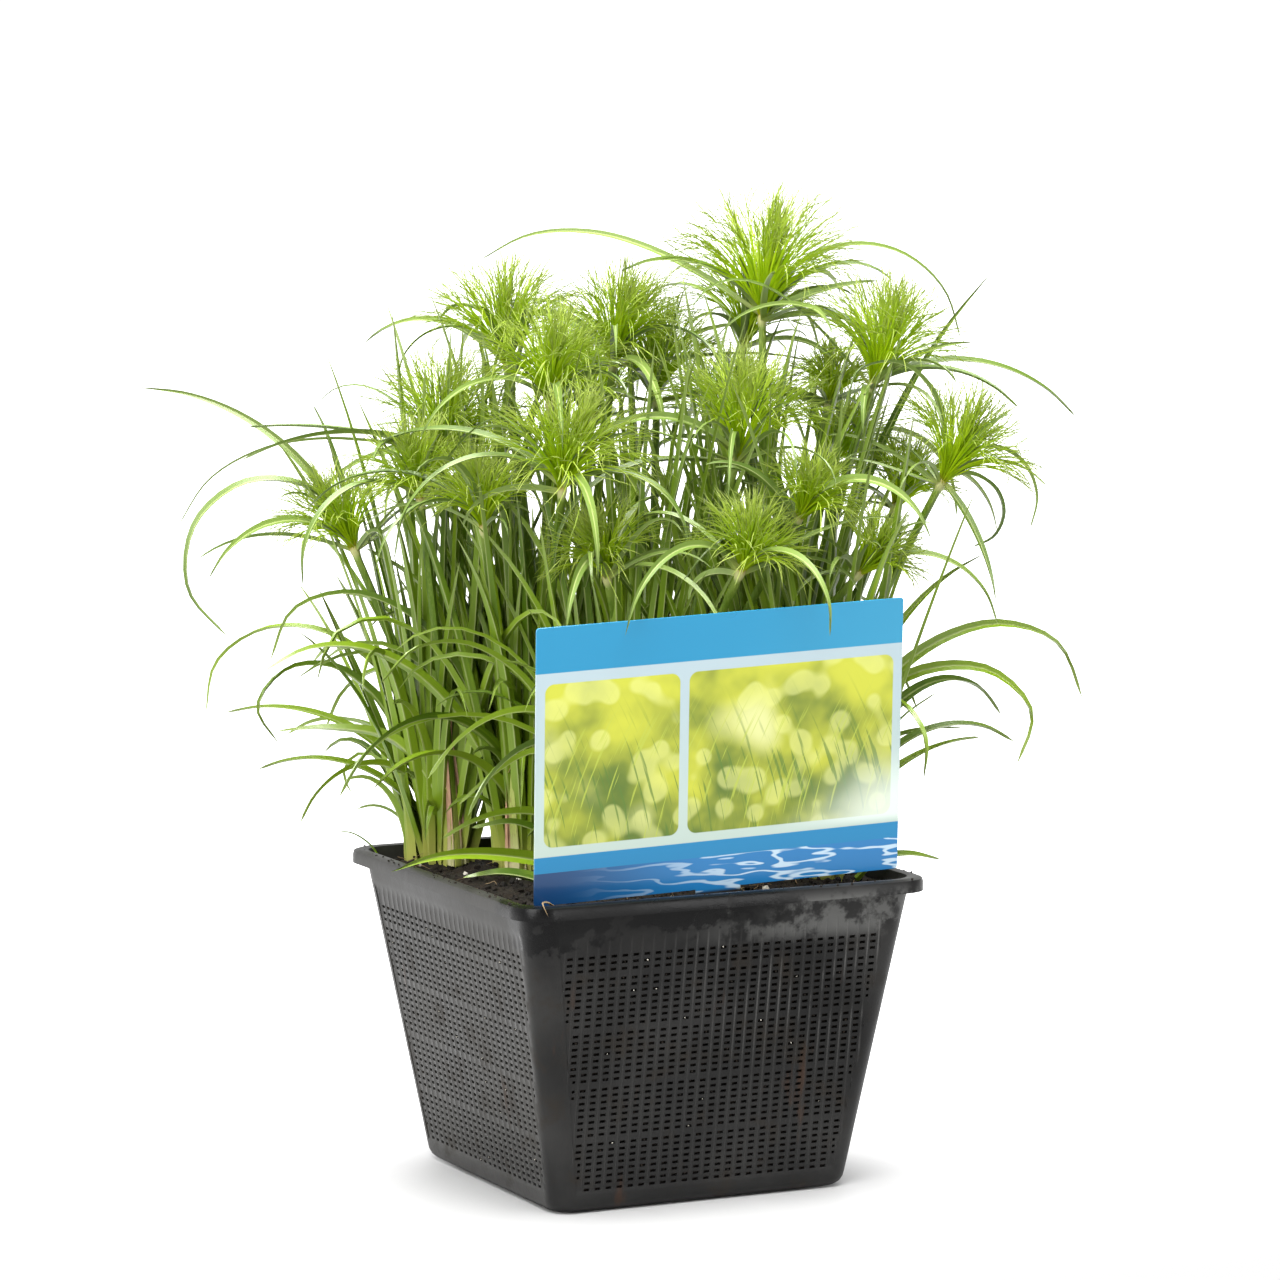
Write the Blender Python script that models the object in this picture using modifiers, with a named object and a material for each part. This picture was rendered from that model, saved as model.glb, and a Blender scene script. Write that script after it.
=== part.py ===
"""Dwarf papyrus in a square pond basket, with the picture card that is stuck in its soil.

Metres, +Z up. The origin is the middle of the basket's underside, and the card faces -Y.
The basket is a thin moulded shell, open at the top and full of soil. Seven clumps grow from the
soil: each has basal leaves, and all but one have culms that carry one umbel each. An umbel is one
piece: a knot with thin rays that stand up from it, and leaf-like bracts that arch out below them.
"""

import math
import random
from collections import namedtuple

import bmesh
import bpy
import numpy as np
from mathutils import Matrix, Vector

# ---- driving dimensions -------------------------------------------------------------------

GAP = 0.0003  # left between pieces that touch

BASKET_HEIGHT = 0.198
RIM_HALF = 0.140  # half the width over the rim
RIM_CORNER = 0.020
RIM_DROP = 0.0086  # height of the lip that hangs from the rim
WALL_TOP_HALF = 0.1331
WALL_TOP_CORNER = 0.018
WALL_FOOT_HALF = 0.1026
WALL_FOOT_CORNER = 0.0146
FOOT_HEIGHT = 0.009  # the walls turn under over this height
FOOT_TUCK = 0.007
FOOT_BEND = (0.25, 0.3)  # the share of the tuck, and of the height, at the bend of the foot
SHELL = 0.0022
CORNER_STEPS = 4

SOIL_TOP = 0.190
WALL_SLANT = 1.15  # the slanting wall is this much thicker when measured level

CARD_WIDTH = 0.245
CARD_HEIGHT = 0.172
CARD_THICKNESS = 0.001
CARD_CORNER = 0.002
CARD_FOOT = (0.001, -0.117, 0.1985)  # middle of the card's lower edge
CARD_LEAN = 6.0  # degrees, forwards
CARD_TURN = -1.4
CARD_ROLL = 1.9
STAKE_WIDTH = 0.030
STAKE_LENGTH = 0.055
STAKE_POINT = 0.012
SLOT_MARGIN = 0.0008

STEM_FOOT_RADIUS = 0.0032
STEM_TOP_RADIUS = 0.0020
STEM_STEPS = 4
STEM_COLLAR = 0.006  # a culm's first stretch stands upright
FOOT_STEP = 0.012  # between culms of a clump

KNOT = (0.0045, 0.0045, 0.0054)  # radii of the knot that an umbel grows from
RAY_REACH = 86.0  # degrees from the knot's axis: faces nearer than this grow a ray
RAY_RADIUS = 0.0014
RAY_SPREAD = 66.0  # degrees from the axis to the outermost rays

BRACT_WIDTH = 0.0058
LEAF_WIDTH = 0.0066
KEEL = 0.2  # a blade's depth as a share of its width
BRACT_STATIONS = 5
LEAF_STATIONS = 7
BRACT_SKIP = 0.0056  # a blade's own section starts this far along it, outside its knot or sheath
LEAF_SKIP = (0.010, 0.031)  # for a leaf that starts level, and for one that starts upright
SHEATH = (0.0060, 0.0060, 0.0140)  # radii of the sheath that a clump's leaves grow from
BLADE_STEPS = 48  # a blade's arc is followed in this many steps
BLADE_FOOT = 0.55  # share of its width where a blade leaves its knot
BLADE_SWELL = 1.8  # how fast it reaches its full width
BLADE_TAPER = 2.2  # higher is blunter towards the tip

# ---- room between the plant's pieces ----------------------------------------------------------

CLEAR = 0.0005  # between any two
BLADE_CLEAR = 0.0004  # added to a blade's half width
CARD_CLEAR = 0.0015
WALL_CLEAR = 0.006
OWN_CLEAR = 0.014  # blades of one knot or sheath may touch this near to their start
FOOT_LIMIT = 0.118  # culms rise this near to the basket's middle
STEM_LEANS = (1.3, 1.1, 1.6, 1.9)  # tried in turn: higher is straighter at the foot
FOOT_RINGS = (1, 1.4, 1.9, 2.4)  # times FOOT_STEP
FOOT_TURNS = (0, 0.6, -0.6, 1.2, -1.2, 1.8, -1.8, 2.4, -2.4, 3.1)  # radians from the umbel's side
BLADE_CUTS = (1.0, 0.85, 0.7)
BLADE_RISES = (0, 5, -5, 10, -10, 18)
BLADE_TURNS = (0, 3, -3, 6, -6, 9, -9, 13, -13, 18, -18, 25, -25)
RAY_CUTS = (1.0, 0.85, 0.7, 0.5)
RAY_TRIES = 40
RAY_STEP = 0.03  # a ray's direction is eased outwards in a spiral
SPIRAL_TURN = 2.4
RAY_TIP_RADIUS = 0.0002
RAY_UNEVEN = 0.92  # the shortest ray of a head beside its longest

# ---- the plant, chosen from the photograph --------------------------------------------------
# A blade starts at its knot. azimuth: degrees from +X round +Z. length: metres along the blade.
# rise: degrees above level at its start. bend: how far it has turned down at its tip.
# gather: 1 for an even arc, 2 or 3 for a blade that is straight and then curls.

Blade = namedtuple("Blade", "azimuth length rise bend gather")
Clump = namedtuple("Clump", "place leaves")
Shoot = namedtuple("Shoot", "clump head rays bracts")

CLUMPS = {
    "left": Clump((-0.088, 0.105), [
        Blade(145, 0.290, 85, 185, 2),
        Blade(175, 0.245, 75, 235, 3),
        Blade(155, 0.190, 85, 100, 1),
        Blade(125, 0.175, 100, 135, 1),
        Blade(190, 0.165, 100, 165, 1),
        Blade(130, 0.210, 80, 100, 3),
        Blade(205, 0.165, 75, 80, 2),
        Blade(60, 0.220, 80, 110, 2),
        Blade(165, 0.150, 78, 100, 1),
        Blade(100, 0.230, 85, 120, 2),
    ]),
    "left_front": Clump((-0.050, 0.052), [
        Blade(165, 0.300, 75, 170, 3),
        Blade(185, 0.270, 70, 105, 2),
        Blade(205, 0.255, 95, 150, 1),
        Blade(225, 0.210, 85, 130, 2),
        Blade(250, 0.190, 95, 120, 2),
        Blade(290, 0.170, 100, 120, 1),
        Blade(150, 0.240, 88, 60, 2),
        Blade(195, 0.190, 85, 120, 1),
    ]),
    "front": Clump((-0.012, -0.012), [
        Blade(190, 0.275, 65, 125, 3),
        Blade(200, 0.255, 100, 150, 1),
        Blade(208, 0.230, 100, 150, 1),
        Blade(200, 0.205, 15, 30, 3),
        Blade(0, 0.200, 75, 120, 2),
        Blade(230, 0.150, 80, 60, 2),
        Blade(215, 0.260, 88, 70, 2),
        Blade(185, 0.150, 60, 90, 1),
        Blade(30, 0.220, 85, 80, 2),
    ]),
    "right": Clump((0.075, -0.015), [
        Blade(345, 0.415, 75, 30, 3),
        Blade(355, 0.325, 55, 145, 3),
        Blade(330, 0.290, 60, 200, 3),
        Blade(20, 0.250, 75, 150, 2),
        Blade(235, 0.260, 88, 60, 2),
        Blade(80, 0.240, 85, 90, 2),
    ]),
    "right_edge": Clump((0.106, -0.052), [
        Blade(335, 0.175, 70, 110, 2),
        Blade(0, 0.150, 70, 70, 1),
        Blade(285, 0.225, 95, 215, 2),
        Blade(15, 0.230, 70, 130, 2),
        Blade(345, 0.240, 82, 60, 2),
    ]),
    "back": Clump((0.062, 0.085), [
        Blade(20, 0.260, 75, 150, 2),
        Blade(50, 0.290, 70, 160, 2),
        Blade(85, 0.240, 75, 140, 2),
        Blade(110, 0.280, 80, 170, 2),
        Blade(350, 0.230, 80, 130, 2),
        Blade(150, 0.230, 85, 100, 2),
    ]),
    "back_left": Clump((-0.010, 0.095), [
        Blade(70, 0.230, 75, 130, 2),
        Blade(95, 0.290, 80, 170, 2),
        Blade(130, 0.250, 70, 150, 2),
        Blade(105, 0.200, 60, 90, 1),
        Blade(200, 0.240, 88, 60, 2),
    ]),
}

SHOOTS = {
    "01": Shoot("right", (0.085, -0.010, 0.540), 0.096, [
        Blade(145, 0.200, 35, 75, 2),
        Blade(175, 0.110, 60, 85, 1),
        Blade(350, 0.185, 70, 155, 1),
        Blade(315, 0.080, 30, 25, 1),
    ]),
    "02": Shoot("back", (0.100, 0.045, 0.520), 0.072, [
        Blade(40, 0.150, 50, 110, 1),
        Blade(100, 0.130, 55, 90, 1),
    ]),
    "03": Shoot("right", (0.135, -0.065, 0.500), 0.080, [
        Blade(175, 0.140, 80, 130, 1),
        Blade(345, 0.145, 30, 80, 1),
        Blade(310, 0.105, 30, 75, 1),
        Blade(135, 0.070, 95, 90, 1),
    ]),
    "04": Shoot("right", (0.165, -0.100, 0.440), 0.076, [
        Blade(165, 0.140, 95, 205, 2),
        Blade(305, 0.080, 45, 90, 1),
        Blade(0, 0.115, 65, 185, 1),
        Blade(325, 0.085, 40, 210, 1),
        Blade(295, 0.085, -40, 40, 1),
    ]),
    "05": Shoot("right", (0.130, -0.015, 0.485), 0.046, [
        Blade(60, 0.130, 60, 100, 1),
    ]),
    "06": Shoot("back_left", (-0.055, 0.070, 0.510), 0.078, [
        Blade(155, 0.100, 70, 160, 1),
        Blade(135, 0.070, 75, 140, 2),
        Blade(80, 0.150, 45, 100, 1),
    ]),
    "07": Shoot("left_front", (-0.055, 0.005, 0.490), 0.074, [
        Blade(195, 0.120, 40, 100, 1),
        Blade(250, 0.110, 40, 110, 1),
    ]),
    "08": Shoot("back_left", (0.010, 0.050, 0.510), 0.076, [
        Blade(110, 0.140, 50, 100, 1),
        Blade(300, 0.100, 60, 120, 1),
    ]),
    "09": Shoot("left_front", (-0.070, -0.045, 0.440), 0.080, [
        Blade(175, 0.150, 50, 140, 1),
        Blade(140, 0.130, 50, 75, 1),
        Blade(260, 0.120, 35, 130, 1),
        Blade(320, 0.110, 40, 130, 1),
    ]),
    "10": Shoot("left", (-0.100, 0.070, 0.455), 0.078, [
        Blade(145, 0.195, 10, 80, 2),
        Blade(155, 0.125, 20, 25, 1),
        Blade(180, 0.140, 25, 50, 1),
        Blade(75, 0.140, 50, 110, 1),
    ]),
    "11": Shoot("left", (-0.150, 0.095, 0.395), 0.068, [
        Blade(140, 0.185, 70, 70, 1),
        Blade(165, 0.215, 80, 230, 1),
        Blade(190, 0.125, 45, 105, 1),
        Blade(125, 0.095, 80, 20, 2),
    ]),
    "12": Shoot("left_front", (-0.105, -0.005, 0.415), 0.060, [
        Blade(200, 0.120, 50, 130, 1),
        Blade(150, 0.130, 60, 110, 1),
    ]),
    "13": Shoot("left", (-0.130, 0.035, 0.430), 0.062, [
        Blade(215, 0.130, 45, 140, 1),
    ]),
    "14": Shoot("front", (-0.040, -0.045, 0.385), 0.058, [
        Blade(230, 0.120, 40, 110, 1),
        Blade(280, 0.130, 30, 120, 1),
    ]),
    "15": Shoot("front", (0.045, -0.055, 0.455), 0.082, [
        Blade(240, 0.120, 50, 120, 1),
        Blade(185, 0.140, 50, 100, 1),
    ]),
    "16": Shoot("front", (0.070, -0.090, 0.420), 0.056, [
        Blade(300, 0.120, 60, 130, 1),
    ]),
    "17": Shoot("front", (0.025, -0.100, 0.390), 0.058, [
        Blade(205, 0.140, 45, 120, 1),
        Blade(290, 0.110, 50, 150, 1),
    ]),
    "18": Shoot("right", (0.165, -0.040, 0.420), 0.056, [
        Blade(20, 0.130, 50, 130, 1),
    ]),
    "19": Shoot("front", (0.110, -0.095, 0.385), 0.052, [
        Blade(175, 0.150, 55, 110, 1),
        Blade(330, 0.110, 40, 120, 1),
    ]),
    "20": Shoot("back", (0.155, 0.035, 0.440), 0.066, [
        Blade(10, 0.150, 50, 140, 1),
        Blade(50, 0.130, 40, 110, 1),
    ]),
    "21": Shoot("back_left", (0.030, 0.125, 0.470), 0.074, [
        Blade(75, 0.160, 50, 130, 1),
        Blade(120, 0.140, 45, 100, 1),
    ]),
    "22": Shoot("back", (0.115, 0.105, 0.455), 0.072, [
        Blade(30, 0.150, 55, 150, 1),
        Blade(80, 0.130, 45, 120, 1),
    ]),
    "23": Shoot("back_left", (-0.040, 0.140, 0.425), 0.068, [
        Blade(100, 0.170, 55, 150, 1),
        Blade(150, 0.140, 50, 120, 1),
    ]),
    "24": Shoot("back", (0.050, 0.070, 0.485), 0.074, [
        Blade(70, 0.150, 50, 110, 1),
    ]),
}

# ---- scene and materials --------------------------------------------------------------------


def clear_scene():
    for obj in list(bpy.data.objects):
        bpy.data.objects.remove(obj, do_unlink=True)


def collection(name):
    made = bpy.data.collections.new(name)
    bpy.context.scene.collection.children.link(made)
    return made


def material(name, colour, roughness):
    made = bpy.data.materials.new(name)
    made.use_nodes = True
    shader = made.node_tree.nodes["Principled BSDF"]
    shader.inputs["Base Color"].default_value = (*colour, 1.0)
    shader.inputs["Roughness"].default_value = roughness
    shader.inputs["Metallic"].default_value = 0.0
    return made


def add_object(name, data, surface, group):
    obj = bpy.data.objects.new(name, data)
    data.materials.append(surface)
    group.objects.link(obj)
    return obj


def mesh_object(name, bm, surface, group):
    mesh = bpy.data.meshes.new(name)
    bm.to_mesh(mesh)
    bm.free()
    return add_object(name, mesh, surface, group)


# ---- basket, soil and card ------------------------------------------------------------------


def rounded_square(bm, half, corner, height):
    """A closed ring of vertices round a square with round corners."""
    ring = []
    for quarter in range(4):
        turn = quarter * math.pi / 2
        across, up = math.cos(turn), math.sin(turn)
        middle = Vector(((across - up) * (half - corner), (up + across) * (half - corner), height))
        for step in range(CORNER_STEPS + 1):
            angle = turn + step / CORNER_STEPS * math.pi / 2
            out = Vector((math.cos(angle), math.sin(angle), 0)) * corner
            ring.append(bm.verts.new(middle + out))
    return ring


def skin(bm, rings):
    """Faces between each ring and the next."""
    for lower, upper in zip(rings, rings[1:]):
        for i in range(len(lower)):
            j = (i + 1) % len(lower)
            bm.faces.new((lower[i], lower[j], upper[j], upper[i]))


def wall_half(height):
    """Half the outer width of the wall at a height above its foot."""
    rise = (height - FOOT_HEIGHT) / (BASKET_HEIGHT - SHELL - FOOT_HEIGHT)
    return WALL_FOOT_HALF + (WALL_TOP_HALF - WALL_FOOT_HALF) * rise


def make_basket(surface, group):
    bm = bmesh.new()
    tuck, rise = FOOT_BEND
    rings = [
        rounded_square(bm, WALL_FOOT_HALF - FOOT_TUCK, WALL_FOOT_CORNER, 0.0),
        rounded_square(bm, WALL_FOOT_HALF - FOOT_TUCK * tuck, WALL_FOOT_CORNER, FOOT_HEIGHT * rise),
        rounded_square(bm, WALL_FOOT_HALF, WALL_FOOT_CORNER, FOOT_HEIGHT),
        rounded_square(bm, WALL_TOP_HALF, WALL_TOP_CORNER, BASKET_HEIGHT - SHELL),
        rounded_square(bm, RIM_HALF - SHELL, RIM_CORNER - SHELL, BASKET_HEIGHT - SHELL),
        rounded_square(bm, RIM_HALF - SHELL, RIM_CORNER - SHELL, BASKET_HEIGHT - RIM_DROP),
    ]
    skin(bm, rings)
    bm.faces.new(list(reversed(rings[0])))
    basket = mesh_object("basket", bm, surface, group)
    shell = basket.modifiers.new("shell", "SOLIDIFY")
    shell.thickness = SHELL
    shell.offset = -1
    shell.use_even_offset = True
    return basket


def make_soil(surface, group, cutters):
    """The block of soil fills the basket, with a slot for the card's stake."""
    inset = SHELL * WALL_SLANT + GAP * 2
    bm = bmesh.new()
    foot = FOOT_HEIGHT + SHELL
    rings = [
        rounded_square(bm, WALL_FOOT_HALF - FOOT_TUCK - inset, WALL_FOOT_CORNER - SHELL, SHELL + GAP),
        rounded_square(bm, wall_half(foot) - inset, WALL_FOOT_CORNER - SHELL, foot),
        rounded_square(bm, wall_half(SOIL_TOP) - inset, WALL_TOP_CORNER - SHELL, SOIL_TOP),
    ]
    skin(bm, rings)
    bm.faces.new(list(reversed(rings[0])))
    bm.faces.new(rings[-1])
    soil = mesh_object("soil", bm, surface, group)

    bm = bmesh.new()
    bmesh.ops.create_cube(bm, size=1)
    bmesh.ops.scale(bm, vec=(
        STAKE_WIDTH + 2 * SLOT_MARGIN,
        CARD_THICKNESS + 2 * SLOT_MARGIN,
        2 * STAKE_LENGTH + 2 * SLOT_MARGIN,
    ), verts=bm.verts)
    slot = mesh_object("stake_slot", bm, surface, cutters)
    slot.matrix_world = card_place()
    slot.hide_render = True
    slot.display_type = "WIRE"
    cut = soil.modifiers.new("stake_slot", "BOOLEAN")
    cut.object = slot
    return soil


def card_place():
    """From the card's own axes (x along it, y its back, z up) to the world, at its lower edge."""
    turn = Matrix.Rotation(math.radians(CARD_TURN), 4, "Z")
    lean = Matrix.Rotation(math.radians(CARD_LEAN), 4, "X")
    roll = Matrix.Rotation(math.radians(-CARD_ROLL), 4, "Y")
    return Matrix.Translation(CARD_FOOT) @ turn @ lean @ roll


def make_card(surface, group):
    """One sheet of plastic, cut with a stake at the middle of its lower edge."""
    half, tip = CARD_WIDTH / 2, STAKE_WIDTH / 2
    outline = [
        (-half, 0), (-tip, 0), (-tip, STAKE_POINT - STAKE_LENGTH), (0, -STAKE_LENGTH),
        (tip, STAKE_POINT - STAKE_LENGTH), (tip, 0), (half, 0),
    ]
    for side in (1, -1):
        for step in (0, 1, 2):
            angle = math.pi / 2 * (step / 2 if side > 0 else 1 + step / 2)
            outline.append((
                side * (half - CARD_CORNER) + CARD_CORNER * math.cos(angle),
                CARD_HEIGHT - CARD_CORNER + CARD_CORNER * math.sin(angle),
            ))
    curve = bpy.data.curves.new("label_card", "CURVE")
    curve.dimensions = "2D"
    curve.fill_mode = "BOTH"
    curve.extrude = CARD_THICKNESS / 2
    line = curve.splines.new("POLY")
    line.points.add(len(outline) - 1)
    for point, (x, y) in zip(line.points, outline):
        point.co = (x, y, 0, 1)
    line.use_cyclic_u = True
    card = add_object("label_card", curve, surface, group)
    card.matrix_world = card_place() @ Matrix.Rotation(math.pi / 2, 4, "X")
    return card


# ---- keeping the plant's pieces apart -------------------------------------------------------


class Room:
    """The stretches of stem, blade and ray that are already there, each as a tapered rod."""

    def __init__(self):
        self.starts, self.ends = np.zeros((0, 3)), np.zeros((0, 3))
        self.radii, self.owners = np.zeros((0, 2)), []
        self.into_card = np.array(card_place().inverted())

    def add(self, owner, points, radii):
        points, radii = np.array(points, float), np.array(radii, float)
        self.starts = np.vstack([self.starts, points[:-1]])
        self.ends = np.vstack([self.ends, points[1:]])
        self.radii = np.vstack([self.radii, np.stack([radii[:-1], radii[1:]], 1)])
        self.owners += [owner] * (len(points) - 1)

    def near(self, owner, a, b, radius_a, radius_b, own_from):
        """Whether the rod from a to b comes too close to another. A rod of the same owner counts
        only if it lies further than own_from along this one."""
        if not len(self.starts):
            return False
        u, v, w = b - a, self.ends - self.starts, a - self.starts
        uu, uv, vv = u @ u, v @ u, (v * v).sum(1)
        uw, vw = w @ u, (v * w).sum(1)
        spread = np.maximum(uu * vv - uv * uv, 1e-18)
        s = np.clip((uv * vw - vv * uw) / spread, 0, 1)
        t = np.clip((uv * s + vw) / vv, 0, 1)
        s = np.clip((uv * t - uw) / uu, 0, 1)
        apart = np.linalg.norm(w + s[:, None] * u - t[:, None] * v, axis=1)
        rods = self.radii[:, 0] * (1 - t) + self.radii[:, 1] * t
        rods = rods + radius_a * (1 - s) + radius_b * s + CLEAR
        mine = np.array([o == owner for o in self.owners])
        counted = ~mine | (s * math.sqrt(uu) > own_from)
        return bool((counted & (apart < rods)).any())

    def hits_holder(self, a, b, radius):
        """Whether the rod runs into the card, the rim, the wall or the soil."""
        for share in np.linspace(0, 1, 9):
            x, y, z = a * (1 - share) + b * share
            across, behind, up = (self.into_card @ np.array([x, y, z, 1.0]))[:3]
            beside = abs(across) < CARD_WIDTH / 2 + radius and -radius < up < CARD_HEIGHT + radius
            if beside and abs(behind) < radius + CARD_CLEAR:
                return True
            out = max(abs(x), abs(y))
            if z < BASKET_HEIGHT + radius and wall_half(z) - WALL_CLEAR < out < RIM_HALF + radius:
                return True
            if z < SOIL_TOP + radius * 0.3 and out < wall_half(z):
                return True
        return False

    def free(self, owner, points, radii, holder=True):
        points = np.array(points, float)
        walked = 0.0
        for a, b, radius_a, radius_b in zip(points, points[1:], radii, radii[1:]):
            if self.near(owner, a, b, radius_a, radius_b, max(0.0, OWN_CLEAR - walked)):
                return False
            if holder and self.hits_holder(a, b, max(radius_a, radius_b)):
                return False
            walked += np.linalg.norm(b - a)
        return True


# ---- stems ----------------------------------------------------------------------------------


def stem_line(foot, head, lean):
    """From the soil up to the umbel: upright at first, then leaning out."""
    foot, head = Vector((*foot, SOIL_TOP + GAP)), Vector(head)
    points = [foot, foot + Vector((0, 0, STEM_COLLAR))]
    start = points[-1]
    for step in range(1, STEM_STEPS + 1):
        t = step / STEM_STEPS
        flat = (head - start) * t**lean
        points.append(Vector((start.x + flat.x, start.y + flat.y, start.z + (head.z - start.z) * t)))
    return points


def stem_radii(count):
    return [
        STEM_FOOT_RADIUS + (STEM_TOP_RADIUS - STEM_FOOT_RADIUS) * i / (count - 1) for i in range(count)
    ]


def place_stems(room):
    """A line for every culm, each foot on the side of its clump that faces its umbel."""
    lines = {}
    for name, shoot in SHOOTS.items():
        middle = Vector(CLUMPS[shoot.clump].place)
        head = Vector(shoot.head)
        toward = math.atan2(head.y - middle.y, head.x - middle.x)
        best = None
        for lean in STEM_LEANS:
            for ring in FOOT_RINGS:
                for turn in FOOT_TURNS:
                    angle = toward + turn
                    foot = middle + Vector((math.cos(angle), math.sin(angle))) * FOOT_STEP * ring
                    if max(abs(foot.x), abs(foot.y)) > FOOT_LIMIT:
                        continue
                    line = stem_line(foot, head, lean)
                    if room.free(name, line, stem_radii(len(line)), holder=False):
                        best = line
                        break
                if best:
                    break
            if best:
                break
        if best is None:
            raise ValueError(f"no room for stem {name}")
        axis = (best[-1] - best[-2]).normalized()
        best[-1] = best[-1] - axis * (KNOT[2] + GAP)
        lines[name] = (best, axis)
        room.add(name, best, stem_radii(len(best)))
        top = head + axis * KNOT[2]
        room.add(name, [best[-1], top], [KNOT[0], KNOT[0]])
    return lines


def make_stem(name, line, surface, group):
    curve = bpy.data.curves.new(name, "CURVE")
    curve.dimensions = "3D"
    curve.bevel_depth = STEM_FOOT_RADIUS
    curve.bevel_resolution = 0
    curve.use_fill_caps = True
    spline = curve.splines.new("POLY")
    spline.points.add(len(line) - 1)
    for point, place, radius in zip(spline.points, line, stem_radii(len(line))):
        point.co = (*place, 1)
        point.radius = radius / STEM_FOOT_RADIUS
    return add_object(name, curve, surface, group)


# ---- blades and rays ------------------------------------------------------------------------


def blade_line(blade, start, skip, stations):
    """Points, forward directions and shares of the length along a blade, from skip metres on."""
    place = Vector(start)
    flat = Vector((math.cos(math.radians(blade.azimuth)), math.sin(math.radians(blade.azimuth)), 0))
    places, forwards = [place.copy()], []
    for i in range(BLADE_STEPS):
        slope = math.radians(blade.rise - blade.bend * ((i + 0.5) / BLADE_STEPS) ** blade.gather)
        forward = flat * math.cos(slope) + Vector((0, 0, math.sin(slope)))
        place = place + forward * blade.length / BLADE_STEPS
        places.append(place.copy())
        forwards.append(forward)
    forwards.append(forwards[-1])
    picked = []
    for i in range(stations + 1):
        share = skip / blade.length + (1 - skip / blade.length) * i / stations
        at = min(int(round(share * BLADE_STEPS)), BLADE_STEPS)
        picked.append((places[at], forwards[at], share))
    return picked


def blade_half_width(width, share):
    """Narrow where it leaves the knot, widest in the middle third, and then a long point."""
    swell = min(1.0, BLADE_FOOT + BLADE_SWELL * share)
    return width / 2 * swell * math.sqrt(max(0.0, 1 - share**BLADE_TAPER))


def settle_blade(room, owner, blade, start, skip, stations, width):
    """The blade with its azimuth and rise eased by a few degrees until it clears the others."""
    for shorter in BLADE_CUTS:
        for rise in BLADE_RISES:
            for turn in BLADE_TURNS:
                tried = blade._replace(
                    azimuth=blade.azimuth + turn,
                    rise=blade.rise + rise,
                    length=blade.length * shorter,
                )
                line = blade_line(tried, start, skip, stations)
                points = [place for place, _, _ in line]
                radii = [blade_half_width(width, share) + BLADE_CLEAR for _, _, share in line]
                if room.free(owner, points, radii):
                    room.add(owner, points, radii)
                    return tried
    return None


def grow_blade(bm, root, blade, line, width):
    """Extrudes the root face along the blade, as a keeled section that narrows to a point."""
    side = Vector((-math.sin(math.radians(blade.azimuth)), math.cos(math.radians(blade.azimuth)), 0))
    face, shift = root, None
    for place, forward, share in line[:-1]:
        above = forward.cross(side)
        half = blade_half_width(width, share)
        section = [place + side * half, place - side * half, place - above * half * 2 * KEEL]
        face = bmesh.ops.extrude_discrete_faces(bm, faces=[face])["faces"][0]
        corners = list(face.verts)
        if shift is None:
            shift = min(range(3), key=lambda k: sum(
                (corners[i].co - section[(i + k) % 3]).length for i in range(3)
            ))
        for i, corner in enumerate(corners):
            corner.co = section[(i + shift) % 3]
    tip = bmesh.ops.poke(bm, faces=[face])["verts"][0]
    tip.co = line[-1][0]
    return root


def nearest(faces, place):
    return min(faces, key=lambda f: (f.calc_center_median() - place).length)


def leaf_skip(blade):
    level, upright = LEAF_SKIP
    return level + (upright - level) * min(1.0, math.sin(math.radians(blade.rise)))


def knot_mesh(middle, axis, radii):
    bm = bmesh.new()
    bmesh.ops.create_icosphere(bm, subdivisions=2, radius=1.0)
    turn = axis.to_track_quat("Z", "Y").to_matrix().to_4x4()
    bmesh.ops.transform(bm, matrix=Matrix.Translation(middle) @ turn @ Matrix.Diagonal((*radii, 1)),
                        verts=bm.verts)
    return bm


def settle_ray(room, owner, middle, direction, length, draw):
    """The ray with its direction eased until it passes between the ones already there."""
    side = direction.orthogonal().normalized()
    other = direction.cross(side)
    twist = draw.uniform(0, 2 * math.pi)
    for shorter in RAY_CUTS:
        for step in range(RAY_TRIES):
            off = RAY_STEP * math.sqrt(step)
            angle = twist + SPIRAL_TURN * step
            aim = (direction + side * off * math.cos(angle) + other * off * math.sin(angle)).normalized()
            start, tip = middle + aim * KNOT[0], middle + aim * length * shorter
            points = [start, tip]
            radii = [RAY_RADIUS, RAY_TIP_RADIUS]
            if room.free(owner, points, radii):
                room.add(owner, points, radii)
                return tip
    return None


def grow_rays(bm, faces, room, owner, middle, axis, length, draw):
    """A point from each of the knot's faces that look up."""
    upper = []
    for face in faces:
        away = axis.angle(face.calc_center_median() - middle)
        if away < math.radians(RAY_REACH):
            upper.append((away, face))
    upper.sort(key=lambda pair: round(pair[0], 3))
    for away, face in upper:
        out = (face.calc_center_median() - middle).normalized()
        level = (out - axis * out.dot(axis)).normalized()
        opened = away * RAY_SPREAD / RAY_REACH
        direction = (axis * math.cos(opened) + level * math.sin(opened)).normalized()
        tip = settle_ray(room, owner, middle, direction, length * draw.uniform(RAY_UNEVEN, 1.0), draw)
        if tip is not None:
            bmesh.ops.poke(bm, faces=[face])["verts"][0].co = tip


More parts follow.
